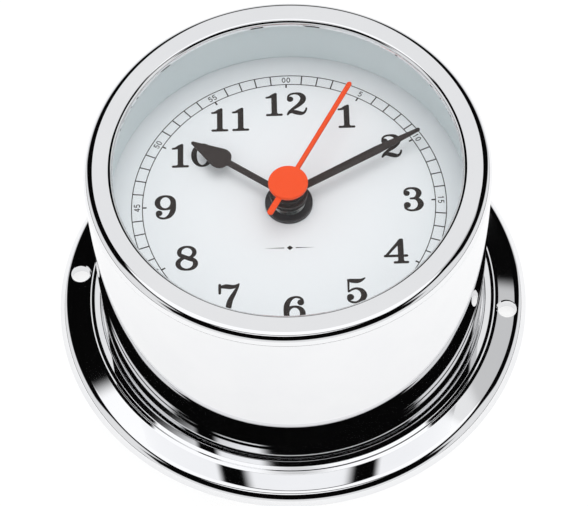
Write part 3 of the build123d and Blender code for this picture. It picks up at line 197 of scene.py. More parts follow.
def chrome_material():
    """Polished plate: nearly a mirror, with faint polishing haze."""
    material, nodes, shader, point = surface("chrome_plate", Metallic=1.0)
    haze = nodes.noise(60.0, 4.0, point)
    marks = nodes.noise(1400.0, 2.0, point, 0.6)
    rough = nodes.math("MULTIPLY_ADD", haze, 0.02, 0.008)
    rough = nodes.math("MULTIPLY_ADD", marks, 0.01, rough)
    colour = nodes.tint(haze, (0.83, 0.835, 0.85), (0.89, 0.89, 0.895))
    drive(nodes, shader, colour, rough, nodes.noise(45.0, 1.0, point), 0.2, 0.02)
    return material


def painted(name, light, dark, roughness, grain=500.0, depth=0.01, **plain):
    """Satin paint or print: a fine orange peel and slight colour variation."""
    material, nodes, shader, point = surface(name, **plain)
    fine = nodes.noise(grain, 3.0, point)
    colour = nodes.tint(nodes.noise(35.0, 3.0, point), dark, light)
    rough = nodes.math("MULTIPLY_ADD", fine, 0.12, roughness - 0.06)
    drive(nodes, shader, colour, rough, fine, 0.3, depth)
    return material


def brushed(name, light, dark, roughness, stretch=(1.0, 1.0, 14.0), scale=260.0):
    """Turned or brushed metal, with fine lines across the stretch direction."""
    material, nodes, shader, point = surface(name, Metallic=1.0)
    stretched = nodes.add("ShaderNodeMapping", {"Vector": point, "Scale": stretch}).outputs["Vector"]
    lines = nodes.noise(scale, 4.0, stretched, 0.65)
    rough = nodes.math("MULTIPLY_ADD", lines, 0.2, roughness - 0.1)
    drive(nodes, shader, nodes.tint(lines, dark, light), rough, lines, 0.2)
    return material


def moulded(name, light, dark, roughness, see_through=0.0):
    """Moulded plastic with a fine spark-eroded grain."""
    material, nodes, shader, point = surface(
        name, Subsurface_Weight=see_through, Subsurface_Scale=0.5 * MM
    )
    grain = nodes.noise(1800.0, 2.0, point, 0.7)
    rough = nodes.math("MULTIPLY_ADD", grain, 0.15, roughness - 0.07)
    drive(nodes, shader, nodes.tint(nodes.noise(90.0, 2.0, point), dark, light), rough, grain, 0.35, 0.02)
    return material


def glass_material():
    """Clear flat glass: light passes straight through it, and only its surface shines."""
    material, nodes, shader, point = surface("clear_glass", Alpha=0.02, IOR=1.5)
    haze = nodes.noise(25.0, 4.0, point)
    rough = nodes.math("MULTIPLY_ADD", haze, 0.06, 0.01)
    drive(nodes, shader, nodes.tint(haze, (0.30, 0.36, 0.37), (0.38, 0.43, 0.44)), rough)
    return material


def wound_material():
    """Enamelled copper wire in turns along the coil, its colour painted darker in the grooves between turns
    as painted shade.
    """
    material, nodes, shader, point = surface("copper_wire", Metallic=1.0, Roughness=0.3)
    inputs = {"Vector": point, "Scale": 2200.0, "Distortion": 0.6, "Detail": 1.0}
    wave = nodes.add("ShaderNodeTexWave", inputs, bands_direction="X").outputs["Fac"]
    # The same bands set the bump and the colour, so the copper is painted darker in the grooves between
    # turns: painted shade.
    drive(nodes, shader, nodes.tint(wave, (0.30, 0.10, 0.04), (0.78, 0.33, 0.15)), None, wave, 0.6, 0.05)
    return material


MATERIALS = {
    "chrome_plate": chrome_material(),
    "steel": brushed("steel", (0.62, 0.62, 0.63), (0.38, 0.38, 0.40), 0.30),
    "clear_glass": glass_material(),
    "black_rubber": moulded("black_rubber", (0.030, 0.030, 0.031), (0.018, 0.018, 0.018), 0.75),
    "grey_paint": painted("grey_paint", (0.76, 0.83, 0.84), (0.70, 0.77, 0.785), 0.40, 140.0),
    "white_enamel": painted("white_enamel", (0.92, 0.935, 0.95), (0.90, 0.92, 0.94), 0.45),
    "black_finish": painted("black_finish", (0.040, 0.030, 0.032), (0.022, 0.017, 0.018), 0.35),
    "nickel_plate": brushed("nickel_plate", (0.66, 0.67, 0.65), (0.45, 0.46, 0.45), 0.28),
    "black_plastic": moulded("black_plastic", (0.035, 0.035, 0.037), (0.022, 0.022, 0.023), 0.50),
    "natural_plastic": moulded("natural_plastic", (0.78, 0.78, 0.73), (0.70, 0.70, 0.65), 0.45, 0.1),
    "soft_iron": brushed("soft_iron", (0.48, 0.48, 0.50), (0.30, 0.30, 0.31), 0.42, (14.0, 1.0, 1.0)),
    "copper_wire": wound_material(),
    "green_board": painted("green_board", (0.02, 0.22, 0.08), (0.012, 0.15, 0.05), 0.35, 900.0, 0.02),
    "black_resin": painted("black_resin", (0.02, 0.02, 0.02), (0.01, 0.01, 0.01), 0.18, 200.0, 0.03),
    "battery_jacket": painted("battery_jacket", (0.10, 0.13, 0.30), (0.07, 0.10, 0.24), 0.28),
    "orange_paint": painted(
        "orange_paint", (0.95, 0.088, 0.014), (0.90, 0.078, 0.012), 0.42, Specular_IOR_Level=0.15
    ),
    "gear_plastic": moulded("gear_plastic", (0.84, 0.84, 0.80), (0.76, 0.76, 0.72), 0.40, 0.1),
    "magnet_ferrite": painted("magnet_ferrite", (0.10, 0.10, 0.11), (0.05, 0.05, 0.055), 0.55, 700.0, 0.05),
    "brass_gear": brushed("brass_gear", (0.80, 0.60, 0.26), (0.55, 0.38, 0.14), 0.30),
    "hand_black": painted(
        "hand_black", (0.046, 0.032, 0.029), (0.034, 0.024, 0.022), 0.42, Specular_IOR_Level=0.3
    ),
}
DIAL_INK = painted(
    "dial_ink", (0.038, 0.027, 0.024), (0.026, 0.018, 0.016), 0.60, 1500.0, Specular_IOR_Level=0.2
)

for part in record["subparts"]:
    cad_node = frame["nodes"][part["node"]]
    cad_node.data.materials.clear()
    cad_node.data.materials.append(MATERIALS[part["material_slot"]])

# ---------------------------------------------------------------- mesh tools


def piece(name, mesh, body, slot, replaced=(), material=None):
    """Puts a mesh in the scene as a piece that rides on a body."""
    made = bpy.data.objects.new(name, mesh)
    bpy.context.scene.collection.objects.link(made)
    mesh.materials.append(material or MATERIALS[slot])
    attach(made, body)
    if replaced:
        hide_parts(*replaced)
    return made


def turned(vector, angle):
    """A flat vector turned anticlockwise by an angle in radians."""
    c, s = math.cos(angle), math.sin(angle)
    return Vector((vector.x * c - vector.y * s, vector.x * s + vector.y * c))


def rounded(corners):
    """The outline of (radius, height, rounding) corners, in metres, with the solid on its left.
    Each of its points comes with the outward normals before and after it."""
    outline = []
    count = len(corners)
    for index, (x, y, rounding) in enumerate(corners):
        corner = Vector((x, y))
        before = (corner - Vector(corners[index - 1][:2])).normalized()
        after = (Vector(corners[(index + 1) % count][:2]) - corner).normalized()
        start_normal = Vector((before.y, -before.x))
        end_normal = Vector((after.y, -after.x))
        turn = math.atan2(before.x * after.y - before.y * after.x, before.dot(after))
        if rounding <= 0 or abs(turn) < 1e-4:
            outline.append((corner, start_normal, end_normal))
            continue
        side = 1 if turn > 0 else -1
        centre = corner - before * rounding * math.tan(abs(turn) / 2) - start_normal * rounding * side
        steps = max(3, round(abs(math.degrees(turn)) / 6))
        for step in range(steps + 1):
            normal = turned(start_normal, turn * step / steps)
            outline.append((centre + normal * rounding * side, normal, normal))
    return outline


SEGMENTS = 288


def lathe_data(outline, segments=SEGMENTS, centre=(0.0, 0.0)):
    """Vertices, faces and a normal for each face corner of an outline turned about a vertical axis."""
    count = len(outline)
    vertices, faces, normals = [], [], []
    for step in range(segments):
        c, s = math.cos(2 * math.pi * step / segments), math.sin(2 * math.pi * step / segments)
        vertices += [(centre[0] + p.x * c, centre[1] + p.x * s, p.y) for p, _, _ in outline]
    for step in range(segments):
        here, there = step * count, ((step + 1) % segments) * count
        near, far = 2 * math.pi * step / segments, 2 * math.pi * (step + 1) / segments
        for index in range(count):
            following = (index + 1) % count
            if (outline[index][0] - outline[following][0]).length < 1e-9:
                continue
            faces.append((here + index, there + index, there + following, here + following))
            start, end = outline[index][2], outline[following][1]
            for normal, angle in ((start, near), (start, far), (end, far), (end, near)):
                normals.append((normal.x * math.cos(angle), normal.x * math.sin(angle), normal.y))
    return vertices, faces, normals


def lathe(name, *outlines, segments=SEGMENTS):
    """One mesh of closed turned solids, with exact normals."""
    vertices, faces, normals = [], [], []
    for outline in outlines:
        more_vertices, more_faces, more_normals = lathe_data(rounded(outline), segments)
        faces += [tuple(index + len(vertices) for index in face) for face in more_faces]
        vertices += more_vertices
        normals += more_normals
    mesh = bpy.data.meshes.new(name)
    mesh.from_pydata(vertices, [], faces)
    mesh.shade_smooth()
    mesh.normals_split_custom_set(normals)
    return mesh


def union(shapes, holes=()):
    """The shapes' points and the triangles that cover their union, less the holes."""
    points, faces = [], []
    for shape in [*shapes, *holes]:
        area = sum(a[0] * b[1] - b[0] * a[1] for a, b in zip(shape, [*shape[1:], shape[0]]))
        ordered = shape if area > 0 else shape[::-1]
        faces.append(list(range(len(points), len(points) + len(ordered))))
        points += [Vector(p) for p in ordered]
    found = delaunay_2d_cdt(points, [], faces, 1, 1e-4, True)
    solid = len(shapes)
    triangles = [
        face for face, sources in zip(found[2], found[5])
        if sources and not any(source >= solid for source in sources)
    ]
    return [tuple(p) for p in found[0]], triangles


def rims(triangles):
    """The directed outline edges of a set of triangles, as closed loops."""
    edges = {(a, b) for t in triangles for a, b in zip(t, (*t[1:], t[0]))}
    onward = {}
    for a, b in edges:
        if (b, a) not in edges:
            onward.setdefault(a, []).append(b)
    loops = []
    while onward:
        start = min(onward)
        loop, here = [start], start
        while True:
            following = onward[here].pop()
            if not onward[here]:
                del onward[here]
            if following == start:
                break
            loop.append(following)
            here = following
        loops.append(loop)
    return loops


def plate(name, shapes, low, high, holes=(), bevel=0.0, place=None):
    """A flat piece with bevelled upper edges. Its shapes are in millimetres in its own plane."""
    points, triangles = union(shapes, holes)
    place = place or Matrix.Identity(4)
    mesh = bmesh.new()
    for loop in rims(triangles):
        rings = [[points[i] for i in loop]] * 2
        heights = [low, high - bevel]
        if bevel:
            rings.append(inset(rings[0], bevel / MM))
            heights.append(high)
        made = [
            [mesh.verts.new(place @ Vector((x * MM, y * MM, z))) for x, y in ring]
            for ring, z in zip(rings, heights)
        ]
        for lower, upper in zip(made, made[1:]):
            for i in range(len(loop)):
                j = (i + 1) % len(loop)
                mesh.faces.new((lower[i], lower[j], upper[j], upper[i]))
    moved = list(points)
    if bevel:
        for loop in rims(triangles):
            for i, p in zip(loop, inset([points[i] for i in loop], bevel / MM)):
                moved[i] = p
    for z, flat, flip in ((low, points, True), (high, moved, False)):
        used = {}
        for triangle in triangles:
            corners = []
            for i in triangle:
                if i not in used:
                    used[i] = mesh.verts.new(place @ Vector((flat[i][0] * MM, flat[i][1] * MM, z)))
                corners.append(used[i])
            mesh.faces.new(corners[::-1] if flip else corners)
    bmesh.ops.remove_doubles(mesh, verts=mesh.verts, dist=1e-7)
    made = bpy.data.meshes.new(name)
    mesh.to_mesh(made)
    mesh.free()
    made.shade_smooth()
    made.set_sharp_from_angle(angle=math.radians(30))
    return made


def inset(ring, distance):
    """A closed outline moved inwards, where inwards is its left."""
    moved = []
    count = len(ring)
    for i, p in enumerate(ring):
        before = (Vector(p) - Vector(ring[i - 1])).normalized()
        after = (Vector(ring[(i + 1) % count]) - Vector(p)).normalized()
        normal = Vector((-(before + after).y, (before + after).x))
        if normal.length < 1e-6:
            moved.append(p)
            continue
        normal.normalize()
        across = max(0.35, normal.dot(Vector((-before.y, before.x))))
        moved.append(tuple(Vector(p) + normal * distance / across))
    return moved


def disc(x, y, radius, steps=48):
    """A round outline."""
    return [
        (x + radius * math.cos(2 * math.pi * i / steps), y + radius * math.sin(2 * math.pi * i / steps))
        for i in range(steps)
    ]


# ---------------------------------------------------------------- case, bezel and base


def corners(*rows):
    """Corners given as (radius, height, rounding in millimetres)."""
    return [(r, z, rounding * MM) for r, z, rounding in rows]


case_outline = corners(
    (CASE_BORE, CASE_BOTTOM, 0.2),
    (CASE_RADIUS, CASE_BOTTOM, 0.4),
    (CASE_RADIUS, CASE_TOP, 0.12),
    (SKIRT_RADIUS, CASE_TOP, 0.05),
    (SKIRT_RADIUS, SKIRT_BOTTOM, 0),
    (CASE_BORE, SKIRT_BOTTOM, 0.1),
    (CASE_BORE, DIAL_BACK, 0),
    (SHOULDER_BORE, DIAL_BACK, 0.1),
    (SHOULDER_BORE, DIAL_BACK - SHOULDER_THICKNESS, 0.1),
    (CASE_BORE, DIAL_BACK - SHOULDER_THICKNESS - SHOULDER_REACH / 2, 0.3),
)
piece("case_tube", lathe("case_tube", case_outline), "case", "chrome_plate", ["case_body"])

bezel_outline = corners(
    (LIP_RADIUS, LIP_UNDERSIDE, 0.1),
    (CASE_BORE, LIP_UNDERSIDE, 0),
    (CASE_BORE, SKIRT_BOTTOM, 0),
    (SKIRT_RADIUS, SKIRT_BOTTOM, 0),
    (SKIRT_RADIUS, CASE_TOP, 0),
    (CASE_RADIUS, CASE_TOP, 0.12),
    (CASE_RADIUS, CLOCK_TOP, BEZEL_ROUNDING),
    (LIP_RADIUS, CLOCK_TOP, LIP_ROUNDING),
)
piece("bezel_ring", lathe("bezel_ring", bezel_outline), "case", "chrome_plate", ["bezel"])

base_outline = corners(
    (SPIGOT_BORE, 0, 0.2),
    (BASE_RADIUS, 0, 0),
    (BASE_RADIUS - SIDE_LEAN, PAD_OUTER_HEIGHT, EDGE_ROUNDING),
    (PAD_INNER, PAD_INNER_HEIGHT, 0.6),
    (PAD_INNER - STEP_WIDTH, LEDGE_HEIGHT, 0.25),
    (COLLAR_OUTER + STEP_WIDTH, LEDGE_HEIGHT, 0.25),
    (COLLAR_OUTER, COLLAR_TOP, 0.5),
    (COLLAR_INNER + COLLAR_EASE, COLLAR_TOP, 0.4),
    (COLLAR_INNER, COLLAR_TOP - COLLAR_EASE, 0.2),
    (COLLAR_INNER, BASE_FLOOR, 0),
    (SPIGOT_RADIUS, BASE_FLOOR, 0),
    (SPIGOT_RADIUS, SPIGOT_TOP, 0.3),
    (SPIGOT_BORE, SPIGOT_TOP, 0.3),
)


def cutter(shape, low, high, flare=0.0):
    """A closed prism to cut with, whose top may be wider. The shape is in metres."""
    mesh = bmesh.new()
    centre = sum((Vector(p) for p in shape), Vector((0, 0))) / len(shape)
    levels = [(low, 0.0), (high, 0.0)]
    if flare:
        levels = [(low, 0.0), (high - flare, 0.0), (high + flare, 2 * flare)]
    rings = []
    for z, wider in levels:
        ring = []
        for p in shape:
            out = (Vector(p) - centre).normalized() * wider
            ring.append(mesh.verts.new((p[0] + out.x, p[1] + out.y, z)))
        rings.append(ring)
    for lower, upper in zip(rings, rings[1:]):
        for i in range(len(shape)):
            j = (i + 1) % len(shape)
            mesh.faces.new((lower[i], lower[j], upper[j], upper[i]))
    mesh.faces.new(rings[0][::-1])
    mesh.faces.new(rings[-1])
    bmesh.ops.recalc_face_normals(mesh, faces=mesh.faces)
    made = bpy.data.meshes.new("cutter")
    mesh.to_mesh(made)
    mesh.free()
    cutting = bpy.data.objects.new("cutter", made)
    bpy.context.scene.collection.objects.link(cutting)
    return cutting


def sector(inner, outer, start, end, steps=24):
    """A piece of a flat ring, with its angles in degrees."""
    angles = [math.radians(start + (end - start) * i / steps) for i in range(steps + 1)]
    near = [(inner * math.cos(a), inner * math.sin(a)) for a in angles]
    far = [(outer * math.cos(a), outer * math.sin(a)) for a in angles]
    return near + far[::-1]


def cut_base():
    """The base ring with its screw holes and bayonet slots cut, and its exact normals put back."""
    outline = rounded(base_outline)
    vertices, faces, _ = lathe_data(outline)
    mesh = bpy.data.meshes.new("base_flange")
    mesh.from_pydata(vertices, [], faces)
    base = bpy.data.objects.new("base_flange_uncut", mesh)
    bpy.context.scene.collection.objects.link(base)
    cutters = []
    hole_places = []
    surface_height = PAD_INNER_HEIGHT - 0.13 * MM
    for turn in (math.radians(-TWIST_TO_LOCK), math.radians(180 - TWIST_TO_LOCK)):
        x, y = HOLE_DISTANCE * math.cos(turn), HOLE_DISTANCE * math.sin(turn)
        hole_places.append(Vector((x, y)))
        cutters.append(cutter(disc(x, y, HOLE_RADIUS, 64), -MM, surface_height, 0.22 * MM))
    half = math.degrees(SLOT_HALF / SPIGOT_BORE)
    inner, outer = SPIGOT_BORE - 2 * MM, SPIGOT_RADIUS + SPIGOT_GAP / 2
    for pin in PIN_DIRECTIONS:
        entry = pin + TWIST_TO_RELEASE
        track_shape = sector(inner, outer, pin - TWIST_TO_LOCK - half, entry + half)
        cutters.append(cutter(track_shape, PIN_HEIGHT - SLOT_HALF, PIN_HEIGHT + SLOT_HALF))
        cutters.append(cutter(sector(inner, outer, entry - half, entry + half), PIN_HEIGHT, SPIGOT_TOP + MM))
    for cutting in cutters:
        modifier = base.modifiers.new("cut", "BOOLEAN")
        modifier.object = cutting
        modifier.operation = "DIFFERENCE"
        modifier.solver = "EXACT"
    graph = bpy.context.evaluated_depsgraph_get()
    cut = bpy.data.meshes.new_from_object(base.evaluated_get(graph))
    cut.name = "base_flange"
    for spare in [base, *cutters]:
        bpy.data.objects.remove(spare)
    # Each face takes its normals from the part of the outline that it lies on.
    starts = np.array([(p.x, p.y) for p, _, _ in outline])
    ends = np.roll(starts, -1, axis=0)
    start_normals = np.array([tuple(n) for _, _, n in outline])
    end_normals = np.roll(np.array([tuple(n) for _, n, _ in outline]), -1, axis=0)
    runs = ends - starts
    lengths = np.maximum((runs ** 2).sum(1), 1e-18)
    cut.shade_smooth()
    normals = []
    for polygon in cut.polygons:
        centre, facing = polygon.center, polygon.normal
        radius = math.hypot(centre.x, centre.y)
        near = np.array((radius, centre.z))
        share = np.clip(((near - starts) * runs).sum(1) / lengths, 0, 1)
        gaps = np.hypot(*(starts + share[:, None] * runs - near).T)
        outward = np.array((facing.x * centre.x + facing.y * centre.y, facing.z * radius)) / radius
        agreement = (start_normals + end_normals) @ outward / 2
        best = int(np.argmin(np.where(agreement > 0.8, gaps, 1.0)))
        on_outline = gaps[best] < 0.05 * MM and agreement[best] > 0.8
        for index in polygon.vertices:
            place = cut.vertices[index].co
            if on_outline:
                reach_here = math.hypot(place.x, place.y)
                along = np.clip(((reach_here, place.z) - starts[best]) @ runs[best] / lengths[best], 0, 1)
                flat = start_normals[best] * (1 - along) + end_normals[best] * along
                unit = (place.x / reach_here, place.y / reach_here)
                normals.append(Vector((flat[0] * unit[0], flat[0] * unit[1], flat[1])).normalized())
                continue
            hole = [h for h in hole_places if (Vector((centre.x, centre.y)) - h).length < 3.2 * MM]
            if hole:
                inward = (hole[0] - Vector((place.x, place.y))).normalized()
                level = math.sqrt(max(0.0, 1 - facing.z ** 2))
                normals.append(Vector((inward.x * level, inward.y * level, facing.z)).normalized())
            else:
                normals.append(facing.copy())
    cut.normals_split_custom_set([tuple(n) for n in normals])
    return cut


piece("base_flange", cut_base(), "base", "chrome_plate", ["base_ring"])

# ---------------------------------------------------------------- inside the well: spacer and hub
spacer_outline = corners(
    (SPACER_BORE, DIAL_TOP + 0.8 * MM, 0.15),
    (SPACER_BORE + SPACER_GROOVE, DIAL_TOP + 0.6 * MM, 0.1),
    (SPACER_BORE + SPACER_GROOVE, DIAL_TOP + INK_CLEARANCE, 0),
    (SPACER_RADIUS, DIAL_TOP + INK_CLEARANCE, 0),
    (SPACER_RADIUS, GLASS_BOTTOM, 0),
    (SPACER_BORE, GLASS_BOTTOM, 0.2),
)
piece("spacer_ring", lathe("spacer_ring", spacer_outline), "case", "grey_paint", ["dial_spacer"])

BUSHING_RADIUS = 4.0 * MM
BUSHING_BORE = 2.56 * MM
BUSHING_FLANGE_RADIUS = 5.5 * MM
BUSHING_FLANGE_THICKNESS = 1.0 * MM
BUSHING_TOP = top("threaded_bushing")
BUSHING_BOTTOM = bottom("threaded_bushing")
THREAD_ROOT = 3.66 * MM
THREAD_PITCH = 0.75 * MM
HUB_SEGMENTS = 96

washer_outline = corners(
    (BUSHING_RADIUS, DIAL_TOP, 0),
    (NUT_RADIUS, DIAL_TOP, 0),
    (NUT_RADIUS, top("dial_washer"), 0.12),
    (BUSHING_RADIUS, top("dial_washer"), 0),
)
washer_mesh = lathe("washer_ring", washer_outline, segments=HUB_SEGMENTS)
piece("washer_ring", washer_mesh, "case", "black_finish", ["dial_washer"])

nut_outline = corners(
    (BUSHING_RADIUS, bottom("hub_nut"), 0),
    (NUT_RADIUS, bottom("hub_nut"), 0.1),
    (NUT_RADIUS, top("hub_nut"), 0.3),
    (BUSHING_RADIUS, top("hub_nut"), 0.1),
)
nut_mesh = lathe("nut_ring", nut_outline, segments=HUB_SEGMENTS)
piece("nut_ring", nut_mesh, "case", "black_finish", ["hub_nut"])

bushing_rows = [
    (BUSHING_BORE, BUSHING_BOTTOM, 0),
    (BUSHING_FLANGE_RADIUS, BUSHING_BOTTOM, 0.1),
    (BUSHING_FLANGE_RADIUS, BUSHING_BOTTOM + BUSHING_FLANGE_THICKNESS, 0),
    (BUSHING_RADIUS, BUSHING_BOTTOM + BUSHING_FLANGE_THICKNESS, 0),
]
thread_height = top("hub_nut") + 0.1 * MM
while thread_height < BUSHING_TOP - 0.6 * MM:
    bushing_rows += [
        (BUSHING_RADIUS, thread_height, 0.05),
        (THREAD_ROOT, thread_height + 0.35 * THREAD_PITCH, 0.05),
        (BUSHING_RADIUS, thread_height + 0.7 * THREAD_PITCH, 0.05),
    ]
    thread_height += THREAD_PITCH
bushing_rows += [(BUSHING_RADIUS, BUSHING_TOP, 0.25), (BUSHING_BORE, BUSHING_TOP, 0.1)]
bushing_mesh = lathe("bushing_tube", corners(*bushing_rows), segments=HUB_SEGMENTS)
piece("bushing_tube", bushing_mesh, "case", "nickel_plate", ["threaded_bushing"])

# ---------------------------------------------------------------- hands


def hand_place(clock_angle):
    """Turns +X to a clock angle in degrees."""
    return Matrix.Rotation(math.radians(90 - clock_angle), 4, "Z")


def mirrored(side):
    """A closed outline from one side's points, from tail to tip."""
    return side + [(x, -y) for x, y in reversed(side) if abs(y) > 1e-9]


def tip_arc(x, half, steps=8):
    """A round end whose outermost point is at x."""
    return [
        (x - half + half * math.sin(math.pi / 2 * i / steps), half * math.cos(math.pi / 2 * i / steps))
        for i in range(steps + 1)
    ]


def joined(name, *meshes):
    """One mesh made of several."""
    mesh = bmesh.new()
    for part_mesh in meshes:
        mesh.from_mesh(part_mesh)
    made = bpy.data.meshes.new(name)
    mesh.to_mesh(made)
    mesh.free()
    made.shade_smooth()
    made.set_sharp_from_angle(angle=math.radians(32))
    return made


HOUR_CLOCK_ANGLE = 305.1
MINUTE_CLOCK_ANGLE = 61.2
SECOND_CLOCK_ANGLE = 28.5
BLADE_THICKNESS = 0.4 * MM
BLADE_BEVEL = 0.09 * MM
SECOND_BEVEL = 0.1 * MM
DISC_THICKNESS = 0.8 * MM
MINUTE_DISC_RADIUS = 4.6 * MM
MINUTE_CAP_RADIUS = 3.9 * MM
MINUTE_CAP_BORE = 0.56 * MM
CANNON_PIPE_RADIUS = 1.5 * MM
SECOND_BOSS_RADIUS = 4.8 * MM
SECOND_COLLET_RADIUS = 1.1 * MM
SECOND_COLLET_DEPTH = 1.8 * MM
SECOND_ARBOR_RADIUS = 0.5 * MM
SECOND_SOCKET_TOP = 0.42 * MM
NEARLY_CLOSED = 0.02 * MM

# The hour hand: a slim shaft, a full rounded shoulder, and straight sides to a fine tip.
shoulder = [
    (17.5, 0.82), (17.66, 1.05), (17.86, 1.5), (18.18, 2.05), (18.62, 2.45), (19.2, 2.72), (19.8, 2.84),
    (20.4, 2.85), (20.9, 2.74),
]
hour_side = [(0, 0.82)] + shoulder + tip_arc(28.7, 0.45)
hour_mesh = plate(
    "hour_pointer", [mirrored(hour_side), disc(0, 0, 4.5, 72)], bottom("hour_hand"), top("hour_hand"),
    [disc(0, 0, 2.5, 48)], BLADE_BEVEL, hand_place(HOUR_CLOCK_ANGLE),
)
piece("hour_pointer", hour_mesh, "hour", "hand_black", ["hour_hand"])

# The minute hand: a long tapered blade on a disc, with a round cap over it.
minute_side = [(0, 0.95), (25.0, 1.1)] + tip_arc(37.1, 0.45)
minute_low = bottom("minute_hand")
cap_low = minute_low + DISC_THICKNESS
minute_blade = plate(
    "minute_blade", [mirrored(minute_side)], minute_low, minute_low + BLADE_THICKNESS,
    [disc(0, 0, 2.2, 48)], BLADE_BEVEL, hand_place(MINUTE_CLOCK_ANGLE),
)
minute_disc = lathe(
    "minute_disc",
    corners(
        (CANNON_PIPE_RADIUS, minute_low, 0),
        (MINUTE_DISC_RADIUS, minute_low, 0.1),
        (MINUTE_DISC_RADIUS, cap_low, 0.15),
        (CANNON_PIPE_RADIUS, cap_low, 0),
    ),
    corners(
        (MINUTE_CAP_BORE, cap_low, 0),
        (MINUTE_CAP_RADIUS, cap_low, 0),
        (MINUTE_CAP_RADIUS, top("minute_hand"), 0.3),
        (MINUTE_CAP_BORE, top("minute_hand"), 0),
    ),
    segments=HUB_SEGMENTS,
)
minute_mesh = joined("minute_pointer", minute_blade, minute_disc)
piece("minute_pointer", minute_mesh, "minute", "hand_black", ["minute_hand"])

# The second hand: a fine needle and a short tail on a round boss, whose collet grips the arbor.
second_low = bottom("second_hand")
blade_low = second_low + SECOND_COLLET_DEPTH
boss_top = blade_low + DISC_THICKNESS
socket_top = blade_low + SECOND_SOCKET_TOP
tail = [(-x, y) for x, y in reversed(tip_arc(9.9, 0.75))]
second_side = tail + [(0, 0.75), (0, 0.6)] + tip_arc(33.3, 0.6)
second_blade = plate(
    "second_blade", [mirrored(second_side)], blade_low, blade_low + BLADE_THICKNESS,
    [disc(0, 0, 4.2, 48)], SECOND_BEVEL, hand_place(SECOND_CLOCK_ANGLE),
)
second_boss = lathe(
    "second_boss",
    corners(
        (SECOND_ARBOR_RADIUS, second_low, 0.05),
        (SECOND_COLLET_RADIUS, second_low, 0.1),
        (SECOND_COLLET_RADIUS, blade_low, 0),
        (SECOND_BOSS_RADIUS, blade_low, 0.12),
        (SECOND_BOSS_RADIUS, boss_top, 0.3),
        (NEARLY_CLOSED, boss_top, 0),
        (NEARLY_CLOSED, socket_top, 0),
        (SECOND_ARBOR_RADIUS, socket_top, 0),
    ),
    segments=HUB_SEGMENTS,
)
second_mesh = joined("second_pointer", second_blade, second_boss)
piece("second_pointer", second_mesh, "second", "orange_paint", ["second_hand"])

# ---------------------------------------------------------------- dial printing
INK_HEIGHT = 0.03 * MM
# The figures are drawn in a cell 100 high, and these are their thin and thick strokes.
THIN = 8.5
THICK = 20.0


def bowl(cx, cy, rx, ry, start, end, thick=THICK, thin=THIN, steps=44):
    """Quads of a stroke round an ellipse, thick at its sides and thin at its top and foot."""
    line = []
    for i in range(steps + 1):
        angle = math.radians(start + (end - start) * i / steps)
        width = thin + (thick - thin) * abs(math.cos(angle)) ** 1.6
        normal = Vector((math.cos(angle) / rx, math.sin(angle) / ry)).normalized()
        centre = Vector((cx + rx * math.cos(angle), cy + ry * math.sin(angle)))
        line.append((centre + normal * width / 2, centre - normal * width / 2))
    return ribbon(line)


def ribbon(line):
    """The quads between successive pairs of points."""
    return [[tuple(a[0]), tuple(a[1]), tuple(b[1]), tuple(b[0])] for a, b in zip(line, line[1:])]


def smooth(points, steps=10):
    """A smooth line through (x, y, width) points."""
    padded = [points[0], *points, points[-1]]
    line = []
    for k in range(1, len(padded) - 2):
        for i in range(steps):
            t = i / steps
            place = []
            for a, b, c, d in zip(*padded[k - 1:k + 3]):
                square, cube = 2 * a - 5 * b + 4 * c - d, 3 * b - a - 3 * c + d
                place.append(0.5 * (2 * b + (c - a) * t + square * t * t + cube * t ** 3))
            line.append(tuple(place))
    return line + [points[-1]]


def stroke(points, caps=True):
    """A stroke of varying width along a smooth line, with round ends."""
    line = smooth(points)
    pairs = []
    for i, (x, y, width) in enumerate(line):
        before, after = line[max(i - 1, 0)], line[min(i + 1, len(line) - 1)]
        along = Vector((after[0] - before[0], after[1] - before[1])).normalized()
        across = Vector((-along.y, along.x)) * width / 2
        pairs.append((Vector((x, y)) + across, Vector((x, y)) - across))
    ends = [disc(x, y, width / 2, 16) for x, y, width in (line[0], line[-1])] if caps else []
    return ribbon(pairs) + ends


def slab(x0, x1, y0, y1):
    """A serif with rounded ends."""
    r = (y1 - y0) / 2
    middle = [(x0 + r, y0), (x1 - r, y0), (x1 - r, y1), (x0 + r, y1)]
    return [middle, disc(x0 + r, y0 + r, r, 20), disc(x1 - r, y0 + r, r, 20)]


def bracket(x, y, dx, dy, steps=8):
    """The curved corner between a stem and its serif."""
    curve = [
        (x + dx * (1 - math.sin(math.pi / 2 * i / steps)), y + dy * (1 - math.cos(math.pi / 2 * i / steps)))
        for i in range(steps + 1)
    ]
    return [[(x, y), *curve]]


def digit_0():
    return bowl(39, 50, 29.5, 45.5, 0, 360, steps=80)


def digit_1():
    return (
        [[(26, 0), (46, 0), (46, 97), (43, 100), (38, 100), (31, 95), (26, 92)]]
        + slab(6, 66, 0, 9.5) + bracket(26, 9, -7, 6) + bracket(46, 9, 7, 6)
        + stroke([(9, 80.5, 8), (17, 81.5, 9), (26, 85, 13), (34, 90, 14)])
    )


def digit_2():
    return (
        [disc(19, 71, 11.5)]
        + stroke([
            (11, 76, 6), (13, 84.5, 7), (22, 92.5, 8), (38, 95.5, 8.5), (55, 91, 15), (65, 78, 20),
            (63, 63, 20), (50, 46, 16), (31, 31, 12), (16, 17, 9), (9.5, 5, 7),
        ])
        + stroke([
            (9.5, 4.5, 7), (15, 13, 11), (25, 17, 15), (40, 13, 18), (56, 8.8, 16), (67, 11, 10),
            (74, 21, 7.5), (76, 30, 6.5),
        ])
    )


